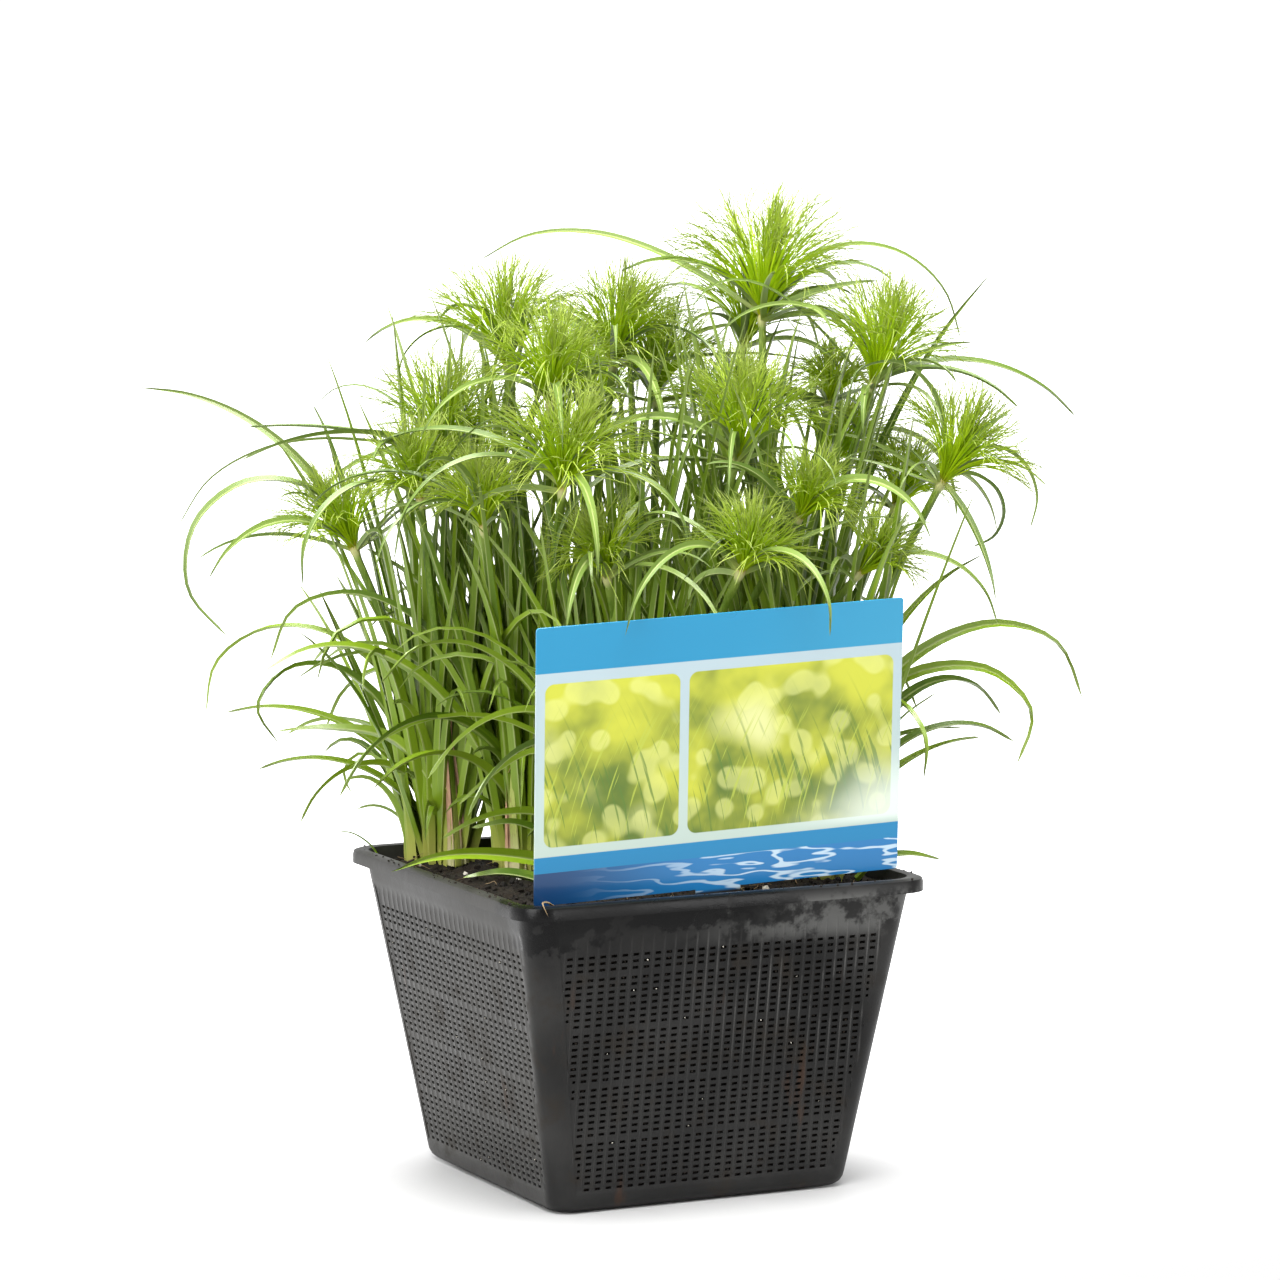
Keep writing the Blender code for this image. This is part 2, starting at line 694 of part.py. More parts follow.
def make_plant(surfaces, group):
    room = Room()
    knots, settled = {}, {}
    for name, clump in CLUMPS.items():
        middle = Vector((*clump.place, SOIL_TOP + GAP + SHEATH[2]))
        knots[name] = knot_mesh(middle, Vector((0, 0, 1)), SHEATH)
        foot = [middle - Vector((0, 0, SHEATH[2] * 0.7)), middle + Vector((0, 0, SHEATH[2] * 0.7))]
        room.add(name, foot, [SHEATH[0]] * 2)

    for name, clump in CLUMPS.items():
        foot = Vector((*clump.place, SOIL_TOP))
        settled[name] = [
            settle_blade(room, name, leaf, foot, leaf_skip(leaf), LEAF_STATIONS, LEAF_WIDTH)
            for leaf in clump.leaves
        ]

    lines = place_stems(room)
    for name, (line, axis) in lines.items():
        make_stem(f"stem_{name}", line, surfaces["stem"], group)
        knots["umbel_" + name] = knot_mesh(Vector(SHOOTS[name].head), axis, KNOT)
    for name, shoot in SHOOTS.items():
        settled["umbel_" + name] = [
            settle_blade(room, name, bract, Vector(shoot.head), BRACT_SKIP, BRACT_STATIONS, BRACT_WIDTH)
            for bract in shoot.bracts
        ]

    for name, clump in CLUMPS.items():
        bm = knots[name]
        faces = list(bm.faces)
        for leaf in filter(None, settled[name]):
            line = blade_line(leaf, (*clump.place, SOIL_TOP), leaf_skip(leaf), LEAF_STATIONS)
            faces.remove(grow_blade(bm, nearest(faces, line[0][0]), leaf, line, LEAF_WIDTH))
        mesh_object(f"leaves_{name}", bm, surfaces["leaf"], group)

    draw = random.Random(7)
    for name, shoot in SHOOTS.items():
        bm = knots["umbel_" + name]
        middle, axis = Vector(shoot.head), lines[name][1]
        faces = list(bm.faces)
        for bract in filter(None, settled["umbel_" + name]):
            line = blade_line(bract, middle, BRACT_SKIP, BRACT_STATIONS)
            faces.remove(grow_blade(bm, nearest(faces, line[0][0]), bract, line, BRACT_WIDTH))
        grow_rays(bm, faces, room, name, middle, axis, shoot.rays, draw)
        mesh_object(f"umbel_{name}", bm, surfaces["umbel"], group)


def main():
    clear_scene()
    parts, cutters = collection("potted_papyrus"), collection("cutters")
    make_basket(material("basket_plastic", (0.022, 0.022, 0.023), 0.45), parts)
    make_soil(material("soil", (0.030, 0.020, 0.014), 0.95), parts, cutters)
    make_card(material("card_plastic", (0.10, 0.45, 0.72), 0.35), parts)
    surfaces = {
        "stem": material("stem_green", (0.10, 0.22, 0.03), 0.5),
        "leaf": material("leaf_green", (0.15, 0.32, 0.04), 0.5),
        "umbel": material("ray_green", (0.24, 0.46, 0.04), 0.5),
    }
    make_plant(surfaces, parts)


main()
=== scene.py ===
"""A dwarf papyrus in its square pond basket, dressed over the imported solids.

The pieces come in the order in which the real thing is put together: basket, soil, card, culms,
basal leaves and heads. Then come the floor, the lights and the camera.
"""

import math
import random

import bmesh
import bpy
import numpy as np
from bmesh.types import BMEdge, BMFace, BMVert
from mathutils import Matrix, Vector, noise


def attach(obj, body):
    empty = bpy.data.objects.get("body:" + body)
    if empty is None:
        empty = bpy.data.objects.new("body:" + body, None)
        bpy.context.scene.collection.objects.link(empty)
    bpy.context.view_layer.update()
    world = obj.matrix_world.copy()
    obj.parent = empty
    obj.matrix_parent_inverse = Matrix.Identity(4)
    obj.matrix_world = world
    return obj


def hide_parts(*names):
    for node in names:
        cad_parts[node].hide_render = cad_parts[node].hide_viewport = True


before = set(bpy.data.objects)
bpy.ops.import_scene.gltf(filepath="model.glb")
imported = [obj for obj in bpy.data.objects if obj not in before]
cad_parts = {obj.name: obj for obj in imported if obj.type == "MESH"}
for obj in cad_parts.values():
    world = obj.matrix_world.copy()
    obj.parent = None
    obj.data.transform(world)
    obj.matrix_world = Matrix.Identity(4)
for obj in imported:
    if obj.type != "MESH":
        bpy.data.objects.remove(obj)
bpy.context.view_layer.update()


# ---- basket ----------------------------------------------------------------------------------
# A pond basket moulded in one shot of soft black polyethylene. Its four walls slant, and each has
# a panel of small slots between thin upright ribs. A lip is folded down all round the rim.

WALL_FOOT, WALL_HEAD = 0.009, 0.1958  # heights between which the walls are straight
FOOT_HALF, HEAD_HALF = 0.1026, 0.1331
FOOT_ROUND, HEAD_ROUND = 0.0146, 0.018
RIM_HALF, RIM_TOP, LIP_FOOT = 0.14, 0.198, 0.189
SHELL = 0.0021
SLOT_PITCH, SLOT_WIDTH = 0.0074, 0.0039
SLOT_COLUMNS = 15  # each side of the middle one
WHOLE_COLUMNS = 10  # further out, a slot can be cut to half its width
ROW_PITCH, ROW_HEIGHT, ROW_GAP = 0.00412, 0.0018, 0.0061
ROW_TOP = 0.164
ROW_GROUPS = (3, 8, 8, 8, 8)
RIB_HEIGHT = 0.00045
RIB_RISE = 0.014  # how far the ribs and their panel run on above the top row
RIB_EASE_FOOT, RIB_EASE_HEAD = 0.004, 0.008  # over which a rib rises from the wall at its ends
PANEL_INSET, PANEL_TAPER = 0.0145, 0.0035  # in from the wall's edge: at its foot, more at its head
PANEL_BORDER = 0.0045  # beside the slots
PANEL_FOOT, PANEL_ROUND, PANEL_STEP = 0.0125, 0.01, 0.002
PANEL_SLANT = 0.144  # how far its sides lean out for each metre up
LOW_LEVELS = 0.011, 0.0128  # rings of the wall under the slots
HIGH_LEVELS = 0.003, 0.007, 0.0115, 0.014, 0.0165  # and over their top row
SLOT_LIMIT = 0.001  # the slots stay this far from the wall's round corner
SHARP = 38  # degrees between the faces at an edge that stays sharp
RECESS = 0.0006
CORNER_STEPS = 8
FOOT_TURN = [  # half width, corner radius and height, under the walls
    (FOOT_HALF - 0.0006, FOOT_ROUND, 0.006), (FOOT_HALF - 0.0019, FOOT_ROUND, 0.0032),
    (FOOT_HALF - 0.004, FOOT_ROUND, 0.0012), (FOOT_HALF - 0.007, FOOT_ROUND, 0.0002),
    (FOOT_HALF - 0.016, 0.012, 0.0002), (FOOT_HALF - 0.017, 0.0115, 0.0016),
]
LIP_HALF = RIM_HALF - SHELL - 0.0003
LIP_TURN = [  # the same, out over the walls and down
    (HEAD_HALF + 0.0006, HEAD_ROUND, WALL_HEAD + 0.0001),
    (LIP_HALF - 0.0012, RIM_HALF - LIP_HALF + 0.016, WALL_HEAD + 0.0001),
    (LIP_HALF - 0.0003, 0.0172, WALL_HEAD - 0.0004), (LIP_HALF, 0.0175, WALL_HEAD - 0.0013),
    (LIP_HALF, 0.0175, LIP_FOOT + 0.0004),
]
SAME = 1e-5  # nearer than this, two places are one


def wall_share(height):
    return (height - WALL_FOOT) / (WALL_HEAD - WALL_FOOT)


def wall_half(height):
    return FOOT_HALF + (HEAD_HALF - FOOT_HALF) * wall_share(height)


def wall_round(height):
    return FOOT_ROUND + (HEAD_ROUND - FOOT_ROUND) * wall_share(height)


def eased(value):
    value = min(1.0, max(0.0, value))
    return value * value * (3 - 2 * value)


def slot_rows():
    """The bottom and top of each row of slots, from the lowest."""
    rows, top = [], ROW_TOP
    for group in ROW_GROUPS:
        for _ in range(group):
            rows.append((top - ROW_HEIGHT, top))
            top -= ROW_PITCH
        top -= ROW_GAP - ROW_PITCH
    return rows[::-1]


def panel_half(height):
    """Half the width of the slotted panel."""
    return wall_half(height) - PANEL_INSET - PANEL_TAPER * wall_share(height)


def panel_depth(across, height):
    """How far the wall's surface lies inside its plane: the panel is sunk, with round corners."""
    over = abs(across) - panel_half(height) - PANEL_BORDER
    top = height - (ROW_TOP + RIB_RISE)
    if over > -PANEL_ROUND and top > -PANEL_ROUND:
        edge = math.hypot(over + PANEL_ROUND, top + PANEL_ROUND) - PANEL_ROUND
    else:
        edge = max(over, top)
    return RECESS * eased(-max(edge, PANEL_FOOT - height) / PANEL_STEP)


def rib_height(height):
    lower = eased((height - slot_rows()[0][0]) / RIB_EASE_FOOT)
    upper = eased((ROW_TOP + RIB_RISE - height) / RIB_EASE_HEAD)
    return RIB_HEIGHT * min(lower, upper)


def linked(name, data):
    """A new object of this data in the scene."""
    made = bpy.data.objects.new(name, data)
    bpy.context.scene.collection.objects.link(made)
    return made


def new_object(name, bm, *surfaces):
    """An object at the origin whose mesh is bm, with smooth faces between its sharp edges."""
    mesh = bpy.data.meshes.new(name)
    bm.to_mesh(mesh)
    bm.free()
    for surface in surfaces:
        mesh.materials.append(surface)
    mesh.shade_smooth()
    mesh.set_sharp_from_angle(angle=math.radians(SHARP))
    return linked(name, mesh)


def slotted_wall(bm):
    """The front wall as a sheet on its outer face, with its slots cut out."""
    columns, ribs = [], []
    for column in range(-SLOT_COLUMNS, SLOT_COLUMNS + 1):
        middle = column * SLOT_PITCH
        columns += [middle - SLOT_WIDTH / 2, middle + SLOT_WIDTH / 2]
        if abs(column) > WHOLE_COLUMNS:
            columns.append(middle)
        ribs.append(middle + SLOT_PITCH / 2)
    ribs.insert(0, -ribs[-1])
    edge = HEAD_HALF - HEAD_ROUND + 0.0002
    lines = sorted(columns + ribs + [-edge, edge])
    rows = slot_rows()
    levels = [WALL_FOOT, *LOW_LEVELS] + [level for row in rows for level in row]
    levels += [ROW_TOP + rise for rise in HIGH_LEVELS] + [WALL_HEAD]
    bmesh.ops.create_grid(bm, x_segments=len(lines) - 1, y_segments=len(levels) - 1, size=1)
    for vert in bm.verts:
        i = round((vert.co.x + 1) / 2 * (len(lines) - 1))
        j = round((vert.co.y + 1) / 2 * (len(levels) - 1))
        vert.co = (lines[i], 0, levels[j])
    slant = (HEAD_HALF - HEAD_ROUND - FOOT_HALF + FOOT_ROUND) / (WALL_HEAD - WALL_FOOT)
    for side in (1, -1):
        bmesh.ops.bisect_plane(
            bm, geom=bm.verts[:] + bm.edges[:] + bm.faces[:], dist=1e-7,
            plane_co=(side * (FOOT_HALF - FOOT_ROUND), 0, WALL_FOOT),
            plane_no=(side, 0, -slant), clear_outer=True,
        )
    cut = []
    for face in bm.faces:
        centre = face.calc_center_median()
        column = round(centre.x / SLOT_PITCH)
        inside = abs(centre.x - column * SLOT_PITCH) < SLOT_WIDTH / 2
        row = next((r for r in rows if r[0] < centre.z < r[1]), None)
        if row is None or not inside:
            continue
        far = max(abs(vert.co.x) for vert in face.verts)
        flat = wall_half(centre.z) - wall_round(centre.z)
        if far < min(panel_half(centre.z), flat - SLOT_LIMIT):
            cut.append(face)
    bmesh.ops.delete(bm, geom=cut, context="FACES")
    return set(round(rib, 6) for rib in ribs)


def only(kind, made):
    """The elements of one kind among those that an operator made."""
    return [element for element in made if isinstance(element, kind)]


def grown(bm, lines, half, bend, steps):
    """Extrudes a loop of this half width and corner radius through steps like FOOT_TURN's."""
    for new_half, new_bend, height in steps:
        made = bmesh.ops.extrude_edge_only(bm, edges=lines)["geom"]
        lines = only(BMEdge, made)
        limit = half - bend
        for vert in only(BMVert, made):
            inner = Vector([max(-limit, min(limit, value)) for value in vert.co.xy])
            out = vert.co.xy - inner
            flat = inner * ((new_half - new_bend) / limit)
            if out.length:
                flat += out.normalized() * new_bend
            vert.co = (*flat, height)
        half, bend = new_half, new_bend
    return lines


def make_basket():
    bm = bmesh.new()
    ribs = slotted_wall(bm)

    def at_corner(vert):
        height = vert.co.z
        return abs(vert.co.x - (wall_half(height) - wall_round(height))) < SAME

    for vert in bm.verts:
        x, z = vert.co.x, vert.co.z
        sunk = panel_depth(x, z)
        proud = rib_height(z) if round(x, 6) in ribs and sunk > RECESS / 2 else 0
        if at_corner(vert):
            sunk = proud = 0
        vert.co.y = -wall_half(z) + sunk - proud
    edge = [line for line in bm.edges if all(at_corner(v) for v in line.verts)]
    for step in range(1, CORNER_STEPS + 1):
        angle = math.pi / 2 * step / CORNER_STEPS
        made = bmesh.ops.extrude_edge_only(bm, edges=edge)["geom"]
        verts = only(BMVert, made)
        for vert in verts:
            bend = wall_round(vert.co.z)
            middle = wall_half(vert.co.z) - bend
            vert.co.x = middle + bend * math.sin(angle)
            vert.co.y = -middle - bend * math.cos(angle)
        edge = [line for line in only(BMEdge, made) if all(v in verts for v in line.verts)]
    bmesh.ops.spin(
        bm, geom=bm.verts[:] + bm.edges[:] + bm.faces[:], cent=(0, 0, 0), axis=(0, 0, 1),
        angle=math.radians(270), steps=3, use_duplicate=True,
    )
    bmesh.ops.remove_doubles(bm, verts=bm.verts, dist=SAME * 2)

    def border(height):
        """The open edges all round the walls at this height."""
        out = wall_half(height) - 0.02
        return [e for e in bm.edges if e.is_boundary and all(
            abs(v.co.z - height) < SAME and max(abs(v.co.x), abs(v.co.y)) > out for v in e.verts
        )]

    foot = grown(bm, border(WALL_FOOT), FOOT_HALF, FOOT_ROUND, FOOT_TURN)
    bmesh.ops.contextual_create(bm, geom=foot)
    grown(bm, border(WALL_HEAD), HEAD_HALF, HEAD_ROUND, LIP_TURN)
    bmesh.ops.recalc_face_normals(bm, faces=bm.faces)
    low = min(bm.faces, key=lambda f: f.calc_center_median().z)
    if low.normal.z > 0:
        bmesh.ops.reverse_faces(bm, faces=bm.faces)
    bmesh.ops.solidify(bm, geom=bm.faces[:], thickness=SHELL)
    return new_object("pond_basket", bm)


basket = make_basket()


class Wire:
    """One output of a node in a material. Python's operators on it add Math nodes."""

    def __init__(self, tree, socket=None):
        self.tree, self.socket = tree, socket

    def node(self, kind, settings, inputs, out=0):
        """Adds a node: its settings first, then the value or wire of each of its inputs."""
        made = self.tree.nodes.new("ShaderNode" + kind)
        for name, value in settings.items():
            setattr(made, name, value)
        for name, value in inputs.items():
            if isinstance(value, Wire):
                self.tree.links.new(value.socket, made.inputs[name])
            else:
                made.inputs[name].default_value = value
        return Wire(self.tree, made.outputs[out])

    def maths(self, operation, *others):
        return self.node("Math", {"operation": operation}, dict(enumerate((self, *others))))

    def __add__(self, other):
        return self.maths("ADD", other)

    def __mul__(self, other):
        return self.maths("MULTIPLY", other)

    def __sub__(self, other):
        return self.maths("SUBTRACT", other)

    def __rsub__(self, other):
        return self.node("Math", {"operation": "SUBTRACT"}, {0: other, 1: self})

    __radd__, __rmul__ = __add__, __mul__

    def __abs__(self):
        return self.maths("ABSOLUTE")

    def rise(self, low, high):
        """0 below low and 1 above high, with a soft step between. A low over a high falls."""
        return self.node("MapRange", {"interpolation_type": "SMOOTHSTEP"}, {
            "Value": self, "From Min": low, "From Max": high,
        })

    def blend(self, under, over):
        """The colour under where this is 0, and over where it is 1."""
        colours = [c if isinstance(c, Wire) else (*c, 1.0) for c in (under, over)]
        return self.node("Mix", {"data_type": "RGBA"}, {0: self, 6: colours[0], 7: colours[1]}, 2)

    def under(self, *layers):
        """This colour with others laid over it in turn, each after its share."""
        colour = self
        for share, over in layers:
            colour = share.blend(colour, over)
        return colour

    def axes(self):
        """The x, y and z of a place as three wires."""
        return [self.node("SeparateXYZ", {}, {0: self}, axis) for axis in "XYZ"]

    def stretched(self, *scale):
        return self.node("Mapping", {}, {"Vector": self, "Scale": scale})

    def noise(self, scale, detail=2.0, rough=0.5):
        """A noise of this many waves a metre along a place."""
        return self.node("TexNoise", {}, {
            "Vector": self, "Scale": scale, "Detail": detail, "Roughness": rough,
        })

    def bump(self, distance):
        return self.node("Bump", {}, {"Height": self, "Distance": distance})


def new_finish(name, specular, **constants):
    """A material with these constants on its shader, and the place of each point of its piece."""
    made = bpy.data.materials.new(name)
    made.use_nodes = True
    inputs = made.node_tree.nodes["Principled BSDF"].inputs
    inputs["Specular IOR Level"].default_value = specular
    for socket, value in constants.items():
        inputs[socket.replace("_", " ")].default_value = value
    return made, Wire(made.node_tree).node("TexCoord", {}, {}, "Object")


def finished(made, colour, rough, normal=None):
    """The material with these wires led to its shader."""
    inputs = made.node_tree.nodes["Principled BSDF"].inputs
    for socket, wire in (("Base Color", colour), ("Roughness", rough), ("Normal", normal)):
        if wire:
            made.node_tree.links.new(wire.socket, inputs[socket])
    return made


def black_plastic():
    """Black with a film of dust. The left wall is made lighter with a painted sheen, the corner
    posts darker with painted shade, and the ribs get a painted highlight along their ridges. The
    band under the front rim is wet, with a ragged edge, and towards its right it has a paler patch
    that is partly dust and partly a painted sheen."""
    made, place = new_finish("weathered_black_plastic", 0.17)
    x, y, z = place.axes()
    fine = place.noise(160.0, 6.0, 0.7)
    clouds = place.noise(26.0, 3.0, 0.6)
    # left marks the left wall, which gets a painted sheen: a lighter colour, mottled by the dust
    # and weaker near the rim.
    front, left = y.rise(-0.094, -0.103), x.rise(-0.095, -0.104)
    left = left * (y + z * PANEL_SLANT).rise(-0.094, -0.084) * (1 - z.rise(0.15, 0.18) * 0.25)
    # Painted shade: the round corner posts are darker.
    post_shade = (1 - front) * (1 - left) * 0.5
    dust = place.noise(14.0, 4.0, 0.6).rise(0.38, 0.72)
    grime = place.noise(38.0, 5.0, 0.65).rise(0.52, 0.7) * z.rise(0.175, 0.15)
    rust = place.stretched(1.0, 1.0, 0.12).noise(55.0, 4.0, 0.6).rise(0.62, 0.72)
    rust = rust * z.rise(0.165, 0.12)
    # A paler patch on the right of the front's upper band: partly dust, partly a painted sheen.
    dust_and_sheen = (place.noise(46.0, 4.0, 0.6) + fine * 0.4).rise(0.6, 0.76) * z.rise(0.16, 0.172)
    dust_and_sheen = dust_and_sheen * z.rise(0.197, 0.186) * front * x.rise(-0.05, 0.08)
    ragged = z - x * 0.06 + (place.noise(34.0, 4.0, 0.6) - 0.5) * 0.04 + (fine - 0.5) * 0.012
    holes = (place.noise(30.0, 4.0, 0.6) + fine * 0.2).rise(0.7, 0.64)
    wet = ragged.rise(0.175, 0.1775) * front * holes * (x + fine * 0.04).rise(0.075, 0.04)
    wet = wet * (0.7 + fine * 0.5)
    damp = front * place.noise(9.0, 3.0, 0.5).rise(0.42, 0.58) * z.rise(0.03, 0.1)
    across = front * x + (1 - front) * y
    panel = z.rise(0.015, 0.019) * z.rise(ROW_TOP + RIB_RISE, ROW_TOP + 0.006)
    panel = panel * (abs(across) - z * PANEL_SLANT).rise(0.0885, 0.087)
    ridge = abs((across * (1 / SLOT_PITCH)).maths("FRACT") - 0.5)
    ridge = ridge.rise(0.12, 0.02) * panel * (1 - wet)
    # Paler rib ridges: a painted highlight, strongest on the upper right of the front.
    painted_rib_highlight = front * x.rise(-0.07, 0.05) * z.rise(0.05, 0.16) * 0.7 * clouds.rise(0.4, 0.58)
    colour = dust.blend((0.013, 0.0128, 0.0126), (0.025, 0.0244, 0.0234)).under(
        (damp * 0.75, (0.007, 0.0069, 0.0067)),
        # painted sheen: the left wall lighter
        (left * (0.55 + dust * 0.45), (0.05, 0.0485, 0.0447)),
        # painted shade on the corner posts
        (post_shade, (0.009, 0.0089, 0.0088)),
        # painted highlight along the rib ridges
        (ridge * (0.08 + painted_rib_highlight), (0.1, 0.098, 0.094)),
        (grime * 0.45, (0.022, 0.016, 0.01)),
        (rust * 0.4, (0.06, 0.026, 0.011)),
        # dust and painted sheen on the right of the upper band
        (dust_and_sheen * 0.8, (0.13, 0.13, 0.125)),
        (wet * 0.92, (0.003, 0.003, 0.0031)),
    )
    rough = 0.36 + dust * 0.12 + grime * 0.14 + dust_and_sheen * 0.12 - wet * 0.12
    grain = place.noise(850.0, 3.0) * 0.6 + place.noise(90.0, 2.0) * 1.6 + ridge * 2.2
    return finished(made, colour, rough, grain.bump(0.00012))


basket.data.materials.append(black_plastic())
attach(basket, "root")
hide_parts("basket")


# ---- soil ------------------------------------------------------------------------------------
# Peaty pond soil that fills the basket to just under its rim. It is pressed against the slots
# from inside, with crumbs, bits of fibre and white perlite on top.

SOIL_TOP = 0.19
SOIL_INSET, SOIL_BEND = 0.0031, 0.0022  # in from the wall's face, and from its corner radius
SOIL_SIDE, SOIL_FLOOR = 0.184, 0.0026  # heights of the first and last ring of its side
SOIL_CELLS, SOIL_RINGS = 84, 26
LUMP, GRIT = 0.0034, 0.0022
DENT = 0.012  # how far the side's lumps reach in, as a share of its half width
CRUMBS, RIM_CRUMBS, SLOT_CRUMBS = 1300, 110, 700
CRUMB_SIZE, CRUMB_SPREAD = 0.0007, 0.0026
PERLITE_ON_TOP, PERLITE_IN_SLOTS = 0.02, 0.1  # shares of the crumbs
FIBRES, ROOT_STEPS = 90, 6
ROOT_LIMIT = 0.125  # as near as this to the walls
HANGING_ROOT = [
    (-0.104, -0.112, 0.1915), (-0.117, -0.124, 0.1985), (-0.125, -0.134, 0.2),
    (-0.127, -0.1405, 0.199), (-0.125, -0.1425, 0.193),
]


def soil_spot(x, y, height):
    """A place in the unit square moved into the basket's rounded section at this height."""
    half = wall_half(height) - SOIL_INSET
    bend = wall_round(height) - SOIL_BEND
    flat = Vector((x * half, y * half))
    core = Vector([max(bend - half, min(half - bend, value)) for value in flat])
    out = flat - core
    if out.length > bend:
        flat = core + out.normalized() * bend
    return flat


def lumps(place, size):
    return noise.fractal(place * size, 0.9, 2.1, 4)


def unit(vectors):
    return vectors / np.maximum(np.linalg.norm(vectors, axis=-1, keepdims=True), 1e-12)


def smooth_line(points, steps):
    """steps + 1 places along a smooth curve through the points."""
    points = np.array([tuple(point) for point in points])
    at = np.concatenate([[0], np.cumsum(np.linalg.norm(np.diff(points, axis=0), axis=1))])
    slopes = np.gradient(points, at, axis=0)
    fine = np.linspace(0, at[-1], steps + 1)
    i = np.clip(np.searchsorted(at, fine, side="right") - 1, 0, len(at) - 2)
    gap = (at[i + 1] - at[i])[:, None]
    t = (fine - at[i])[:, None] / gap
    return (
        (2 * t**3 - 3 * t**2 + 1) * points[i] + (t**3 - 2 * t**2 + t) * gap * slopes[i]
        + (3 * t**2 - 2 * t**3) * points[i + 1] + (t**3 - t**2) * gap * slopes[i + 1]
    )


def strand(name, section, steps, pointed=True):
    """A straight closed strand: a section's corners drawn out along +Z, in steps, to a point."""
    bm = bmesh.new()
    face = bm.faces.new([bm.verts.new((x, y, 0)) for x, y in section])
    made = bmesh.ops.extrude_face_region(bm, geom=[face], use_keep_orig=True)["geom"]
    face = only(BMFace, made)[0]
    for step in range(1, steps + 1):
        if step > 1:
            face = bmesh.ops.extrude_discrete_faces(bm, faces=[face])["faces"][0]
        for vert in face.verts:
            vert.co.z = step / steps
    if pointed:
        bmesh.ops.pointmerge(bm, verts=face.verts[:], merge_co=(0, 0, 1))
    bmesh.ops.recalc_face_normals(bm, faces=bm.faces)
    mesh = bpy.data.meshes.new(name)
    bm.to_mesh(mesh)
    bm.free()
    return mesh


def corners_of(mesh):
    flat = np.empty(len(mesh.vertices) * 3)
    mesh.vertices.foreach_get("co", flat)
    return flat.reshape(-1, 3)


class Bunch:
    """The strands of one object, each bent along its own line."""

    def __init__(self):
        self.shapes, self.places, self.marks, self.slots = [], [], [], []

    def add(self, shape, line, side, width, depth, slot=0, along=(0.0, 1.0), twist=0.0):
        """Lays a strand on a line: its x to the side and its y upwards, in metres. along is where
        on the whole growth it starts and ends, and twist turns its tip about it."""
        steps = len(line) - 1
        corners = corners_of(shape)
        at = np.rint(corners[:, 2] * steps).astype(int)
        ahead = unit(np.gradient(line, axis=0))
        side = np.array(side, float)
        across = unit(side - (ahead @ side)[:, None] * ahead)
        above = np.cross(ahead, across)
        if twist:
            turn = np.linspace(0, twist, steps + 1)[:, None]
            across, above = (across * np.cos(turn) + above * np.sin(turn),
                             above * np.cos(turn) - across * np.sin(turn))
        x = corners[:, :1] * np.broadcast_to(width, steps + 1)[at, None]
        y = corners[:, 1:2] * np.broadcast_to(depth, steps + 1)[at, None]
        self.places.append(line[at] + across[at] * x + above[at] * y)
        low, high = along
        self.marks.append(np.stack([
            len(self.shapes) + 0.5 + 0.44 * corners[:, 0], low + (high - low) * corners[:, 2],
        ], 1))
        self.shapes.append(shape)
        self.slots.append(slot)

    def build(self, name, *surfaces):
        bm = bmesh.new()
        for shape in self.shapes:
            bm.from_mesh(shape)
        growth = bm.loops.layers.uv.new("growth")
        marks = np.concatenate(self.marks)
        bm.verts.index_update()
        for vert, place in zip(bm.verts, np.concatenate(self.places)):
            vert.co = place
        for face in bm.faces:
            for loop in face.loops:
                loop[growth].uv = marks[loop.vert.index]
        made = new_object(name, bm, *surfaces)
        slots = np.repeat(self.slots, [len(shape.polygons) for shape in self.shapes])
        made.data.polygons.foreach_set("material_index", slots)
        return made


TRIANGLE = [(0.0, 1.0), (-0.87, -0.5), (0.87, -0.5)]
root_shape = strand("root_shape", TRIANGLE, ROOT_STEPS)


def add_crumb(bm, draw, place, size, slot):
    made = bmesh.ops.create_icosphere(bm, subdivisions=1, radius=1)["verts"]
    turn = Matrix.Rotation(draw.uniform(0, 6.28), 4, Vector((draw.random(), draw.random(), 0.3)))
    shape = [size * draw.uniform(0.6, 1.2) for _ in range(3)]
    for vert in made:
        vert.co *= draw.uniform(0.78, 1.12)
    bmesh.ops.transform(
        bm, matrix=Matrix.Translation(place) @ turn @ Matrix.Diagonal((*shape, 1)), verts=made,
    )
    for face in {face for vert in made for face in vert.link_faces}:
        face.material_index = slot


def soil_height(x, y):
    spot = Vector((x, y, 0))
    return SOIL_TOP - 0.0008 + LUMP * lumps(spot, 45) + GRIT * lumps(spot, 190)


def any_wall(draw):
    """The turn from the front wall to any of the four."""
    return Matrix.Rotation(math.pi / 2 * draw.randrange(4), 4, "Z")


